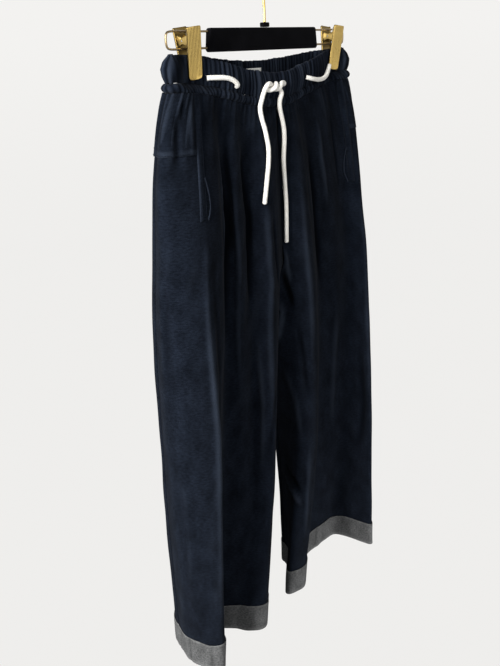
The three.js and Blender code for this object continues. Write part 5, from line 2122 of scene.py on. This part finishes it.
@dataclass
class Clip:
    """A sprung clip: a ribbed jaw before and behind the band, a pin and a coil spring.

    Sizes are in the clip's own frame, whose origin is the middle of its pin.
    """

    finishes: Finishes
    side: Side
    x: tuple[float, float] = (-141.0, 149.0)
    pin_z: float = -101.5
    tilt: float = 5.5
    width: float = 22.0
    length: float = 60.0
    foot: float = -44.5
    grip: float = -3.8
    depth: float = 2.2
    sheet: float = 0.8
    lean: float = 6.8
    ribs: int = 9
    rib_rise: float = 0.45
    foot_round: float = 4.5
    top_round: float = 2.0
    ear_thickness: float = 1.0
    spring_radius: float = 3.2
    spring_wire: float = 0.55
    spring_length: float = 13.2
    spring_turns: int = 8
    spring_start: tuple[Point, ...] = ((-7.0, -7.4, 12.0), (-6.8, -5.4, 6.0))
    spring_end: tuple[Point, ...] = ((6.8, -5.4, -6.0), (7.0, -6.0, -9.0))
    ear_near: tuple[float, float] = (9.6, 7.6)
    ear_tip: float = 3.0
    ear_top: tuple[tuple[float, float], ...] = ((-10.4, 6.4), (-8.4, 5.9), (-3.4, 4.0))
    ear_foot: tuple[tuple[float, float], ...] = ((-3.4, -4.0), (-8.0, -6.0), (-8.9, -6.4))
    boss_radius: float = 2.5
    boss_wire: float = 0.5
    boss_up: float = 48.0
    pin_dome: tuple[tuple[float, float], ...] = ((10.9, 0.7), (10.6, 1.3), (10.1, 1.5))

    def tray(self, solid: Solid) -> None:
        """Adds a jaw's plate: fine upright ribs, edges turned back and rounded corners.

        Args:
            solid: What it is added to.
        """
        half = self.width / 2
        across = np.linspace(-1, 1, 14 * self.ribs + 1)
        rib = self.rib_rise * (0.5 + 0.5 * np.cos(math.tau * self.ribs * (across + 1) / 2 + math.pi)) ** 0.8
        groove_shade = (1 - rib / self.rib_rise) ** 2
        rib *= smooth((1 - np.abs(across)) / 0.12)
        outer = np.stack([across, -self.depth - rib], -1)
        roll = np.array([(1.0, 0.0), (1 - self.sheet / half, 0.0)])
        inner = np.linspace(1 - self.sheet / half, self.sheet / half - 1, 9)
        inner = np.stack([inner, np.full(9, self.sheet - self.depth)], -1)
        profile = np.concatenate([outer, roll, inner, (roll * [-1, 1])[::-1]])
        rows = np.concatenate(
            [
                self.foot_round * (1 - np.cos(np.linspace(0, math.pi / 2, 9))),
                np.linspace(self.foot_round, self.length - self.top_round, 8)[1:-1],
                self.length - self.top_round * (1 - np.sin(np.linspace(0, math.pi / 2, 6))),
            ]
        )
        rings = []
        for up in rows:
            ends = ((self.foot_round, up), (self.top_round, self.length - up))
            cut = max(r - math.sqrt(max(0.0, r * r - max(0.0, r - d) ** 2)) for r, d in ends)
            ring = np.zeros((len(profile), 3))
            ring[:, 0] = profile[:, 0] * (half - cut)
            ring[:, 1] = profile[:, 1]
            ring[:, 2] = up
            rings.append(moved(ring, (0.0, self.grip, self.foot), self.lean))
        # Painted shade: the rib hollows darken, more so higher up the plate, and the plate's inner faces take
        # 0.8 of it.
        fade = lerp(0.2, 0.9, smooth(rows / self.length / 0.6))[:, None]
        inside = np.full((len(rows), len(profile) - len(across)), 0.8)
        painted_shade = np.concatenate([fade * groove_shade[None, :], inside], axis=1)
        solid.rings(rings, flip=True, painted_shade=painted_shade.ravel())

    def lip(self, solid: Solid) -> None:
        """Adds the rounded bar inside a jaw's foot, which grips the cloth.

        Args:
            solid: What it is added to.
        """
        turn = np.linspace(0, math.tau, 12, endpoint=False)
        rings = []
        for x, size in ((-8.6, 0.6), (-8.0, 0.8), (8.0, 0.8), (8.6, 0.6)):
            y, z = -0.85 + size * np.sin(turn), 2.2 + 1.6 * size * np.cos(turn)
            ring = np.stack([np.full(12, x), y, z], -1)
            rings.append(moved(ring, (0.0, self.grip, self.foot), self.lean))
        solid.rings(rings, flip=True)

    def ear(self, solid: Solid, x: float) -> None:
        """Adds a rounded triangular ear that reaches from the jaw's edge to the pin.

        Args:
            solid: What it is added to.
            x: Where its inner face lies.
        """
        turn = np.radians(np.linspace(72, -72, 11))
        tip = self.ear_tip * np.stack([np.cos(turn), np.sin(turn)], -1)
        outline = np.concatenate([self.ear_top, tip, self.ear_foot])
        middle = outline.mean(axis=0)
        rings = []
        for share, inset in ((0.0, 0.94), (0.2, 1.0), (0.8, 1.0), (1.0, 0.94)):
            shape = middle + (outline - middle) * inset
            level = np.full(len(shape), x + share * self.ear_thickness)
            rings.append(np.stack([level, shape[:, 0], shape[:, 1]], -1))
        solid.rings(rings)

    def boss(self, solid: Solid) -> None:
        """Adds a pressed ring in the middle of a jaw's inner face.

        Args:
            solid: What it is added to.
        """
        columns, rows = 28, 8
        turn = np.linspace(0, math.tau, columns, endpoint=False)[:, None]
        small = np.linspace(0, math.tau, rows, endpoint=False)[None, :]
        out = self.boss_radius + self.boss_wire * np.cos(small)
        rise = self.boss_wire * np.sin(small) + 0 * turn
        points = np.stack([out * np.cos(turn), rise, out * np.sin(turn)], -1)
        at = (0.0, self.sheet - self.depth, self.boss_up)
        faces = grid_faces(columns, rows, ring=True, tube=True)
        rim = moved(moved(points, at), (0.0, self.grip, self.foot), self.lean)
        # The pressed ring takes painted shade at 0.6.
        solid.add(rim, faces, np.full(len(rim), 0.6))

    def place(self, points: Array, behind: bool = False) -> Array:
        """Moves points to the clip's place.

        Args:
            points: The points in the clip's own frame.
            behind: Whether they are turned to face back.

        Returns:
            The moved points.
        """
        points = np.asarray(points, dtype=float) * ([-1, -1, 1] if behind else [1, 1, 1])
        turn = np.array(Matrix.Rotation(math.radians(self.side.sign * self.tilt), 3, "Y"))
        return points @ turn.T + [self.x[self.side is Side.LEFT], 0.0, self.pin_z]

    def jaw(self, behind: bool) -> None:
        """Makes one jaw.

        Args:
            behind: Whether it lies behind the band.
        """
        solid = Solid()
        self.tray(solid)
        self.lip(solid)
        self.boss(solid)
        near = self.ear_near[behind]
        for x in (-near - self.ear_thickness, near):
            self.ear(solid, x)
        where = "back" if behind else "front"
        points = self.place(np.concatenate(solid.points), behind)
        name = f"jaw_{where}_{self.side.value}"
        piece = mesh_object(name, points, solid.faces, self.finishes.gold, "gold_metal")
        paint(piece, "painted_shade", np.concatenate(solid.painted_shade))
        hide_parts(f"clip_{where}_jaw_{self.side.value}")

    def pin(self) -> None:
        """Makes the pin, with a shallow dome at each end."""
        turn = np.linspace(0, math.tau, 20, endpoint=False)
        rings = []
        for x, radius in (*((-x, r) for x, r in self.pin_dome), *reversed(self.pin_dome)):
            rings.append(np.stack([np.full(20, x), radius * np.cos(turn), radius * np.sin(turn)], -1))
        solid = Solid()
        solid.rings(rings, flip=True)
        points = self.place(np.concatenate(solid.points))
        name = f"hinge_pin_{self.side.value}"
        piece = mesh_object(name, points, solid.faces, self.finishes.steel, "spring_steel")
        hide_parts(f"clip_pin_{self.side.value}")

    def spring(self) -> None:
        """Makes the coil spring round the pin, with an arm up to each jaw."""
        half, radius = self.spring_length / 2, self.spring_radius
        turns = np.linspace(0, math.tau * self.spring_turns, 18 * self.spring_turns)
        along = np.linspace(-half, half, len(turns))
        coil = np.stack([along, -radius * np.cos(turns), radius * np.sin(turns)], -1)
        line = self.place(np.concatenate([self.spring_start, coil, self.spring_end]))
        name = f"coil_spring_{self.side.value}"
        piece = tube(name, line, self.spring_wire, self.finishes.steel, "spring_steel", sides=8)
        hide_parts(f"clip_spring_{self.side.value}")

    def build(self) -> None:
        """Makes the clip."""
        self.jaw(behind=False)
        self.jaw(behind=True)
        self.pin()
        self.spring()


# Studio


@dataclass
class Studio:
    """The camera at the picture's angle, a pale round cove that glows with painted light, and soft light."""

    camera_place: Point = (-0.8065, -0.6898, -0.118)
    heading: float = 47.5
    pitch: float = 20.5
    roll: float = 2.43
    focal_pixels: float = 750.0
    picture_height: float = 666.0
    sensor: float = 36.0
    floor: float = -1.30
    cove_flat: float = 4.2
    cove_bend: float = 2.2
    cove_height: float = 7.0
    # The painted glow's colour low down and higher up.
    painted_glow_low: Point = (0.845, 0.838, 0.823)
    painted_glow_high: Point = (0.896, 0.888, 0.872)

    def camera(self) -> None:
        """Makes the camera."""
        data = bpy.data.cameras.new("view")
        data.sensor_width = self.sensor
        data.lens = self.focal_pixels * self.sensor / self.picture_height
        data.clip_start = 0.05
        data.clip_end = 100.0
        camera = bpy.data.objects.new("view", data)
        camera.matrix_world = Matrix.Translation(self.camera_place)
        for angle, axis in ((-self.heading, "Z"), (90.0 - self.pitch, "X"), (-self.roll, "Z")):
            camera.matrix_world @= Matrix.Rotation(math.radians(angle), 4, axis)
        bpy.context.scene.collection.objects.link(camera)
        bpy.context.scene.camera = camera

    def cove(self) -> None:
        """Makes the pale floor, which curves up all round and glows with painted light, a little brighter
        higher up.
        """
        turn = np.linspace(0.12, 1.0, 9) * math.pi / 2
        flat, bend = self.cove_flat, self.cove_bend
        reach = np.array([flat, *(flat + bend * np.sin(turn)), flat + bend])
        rise = np.array([0.0, *(bend * (1 - np.cos(turn))), self.cove_height])
        sides = 72
        around = math.tau * np.arange(sides)[None, :] / sides
        rings = [reach[:, None] * np.cos(around), reach[:, None] * np.sin(around), self.floor + rise[:, None]]
        points = np.stack(np.broadcast_arrays(*rings), -1).reshape(-1, 3).tolist()
        faces = grid_faces(len(reach), sides, tube=True)
        faces.append(tuple(range(sides)))
        mesh = bpy.data.meshes.new("cove")
        mesh.from_pydata(points, [], faces)
        mesh.polygons.foreach_set("use_smooth", [True] * len(mesh.polygons))
        nodes = Nodes("pale_paper_painted_glow")
        # Painted light: the backdrop glows instead of being lit, a little brighter higher up.
        place = nodes.add("ShaderNodeSeparateXYZ")
        nodes.link(nodes.mapped("Object", (0.25, 0.25, 0.25)), place.inputs["Vector"])
        grain = nodes.noise(nodes.mapped("Object"), 2.0, 2.0)
        height = nodes.math("ADD", place.outputs["Z"], 0.55)
        rise = nodes.math("ADD", height, nodes.math("MULTIPLY", grain, 0.06))
        painted_glow = nodes.ramp(rise, {0.1: self.painted_glow_low, 0.6: self.painted_glow_high})
        nodes.link(painted_glow, nodes.shader.inputs["Emission Color"])
        nodes.set(Emission_Strength=1.0, Roughness=1.0, Specular_IOR_Level=0.0)
        nodes.shader.inputs["Base Color"].default_value = (0.0, 0.0, 0.0, 1.0)
        mesh.materials.append(nodes.material)
        cove = bpy.data.objects.new("cove", mesh)
        bpy.context.scene.collection.objects.link(cove)
        cove.visible_diffuse = False
        cove.visible_shadow = False

    def softbox(self, name: str, place: Point, aim: Point, size: float, power: float) -> None:
        """Makes one square soft light.

        Args:
            name: Its name.
            place: Where it stands.
            aim: What it faces.
            size: Its width in metres.
            power: Its power in watts.
        """
        data = bpy.data.lights.new(name, "AREA")
        data.shape = "SQUARE"
        data.size = size
        data.energy = power
        light = bpy.data.objects.new(name, data)
        light.location = place
        light.visible_camera = False
        light.rotation_mode = "QUATERNION"
        light.rotation_quaternion = (Vector(aim) - Vector(place)).to_track_quat("-Z", "Y")
        bpy.context.scene.collection.objects.link(light)

    def build(self) -> None:
        """Makes the studio."""
        self.camera()
        self.cove()
        self.softbox("key", (-2.6, 0.0, 0.5), (0.0, 0.0, -0.5), 1.5, 195.0)
        self.softbox("front_fill", (-1.0, -2.7, 0.3), (0.0, 0.0, -0.5), 2.2, 36.0)
        self.softbox("hem_fill", (0.28, -0.35, -1.26), (0.15, 0.02, -0.96), 0.3, 2.4)
        self.softbox("rim", (2.2, 2.0, 0.8), (0.0, 0.0, -0.5), 2.0, 14.0)
        world = bpy.data.worlds.new("studio")
        world.use_nodes = True
        back = world.node_tree.nodes["Background"]
        back.inputs["Color"].default_value = (0.93, 0.96, 1.0, 1.0)
        back.inputs["Strength"].default_value = 0.2
        bpy.context.scene.world = world
        bpy.context.scene.view_settings.view_transform = "Standard"


def main() -> None:
    """Builds the object piece by piece and dresses it."""
    logging.basicConfig(level=logging.INFO, format="%(name)s: %(message)s")
    Studio().build()
    finishes = Finishes()
    Drawstring(finishes).build()
    form = LegForm()
    legs = Legs(form, Relief(form), finishes)
    legs.build()
    Waist(WaistLine(form), finishes).build()
    overlays = [Overlays(legs, finishes, side) for side in Side]
    for overlay in overlays:
        overlay.build()
    tree = StitchTree()
    for overlay in overlays:
        Sewing(overlay, tree).build()
    Hanger(finishes).build()
    for side in Side:
        Clip(finishes, side).build()


if __name__ == "__main__":
    main()
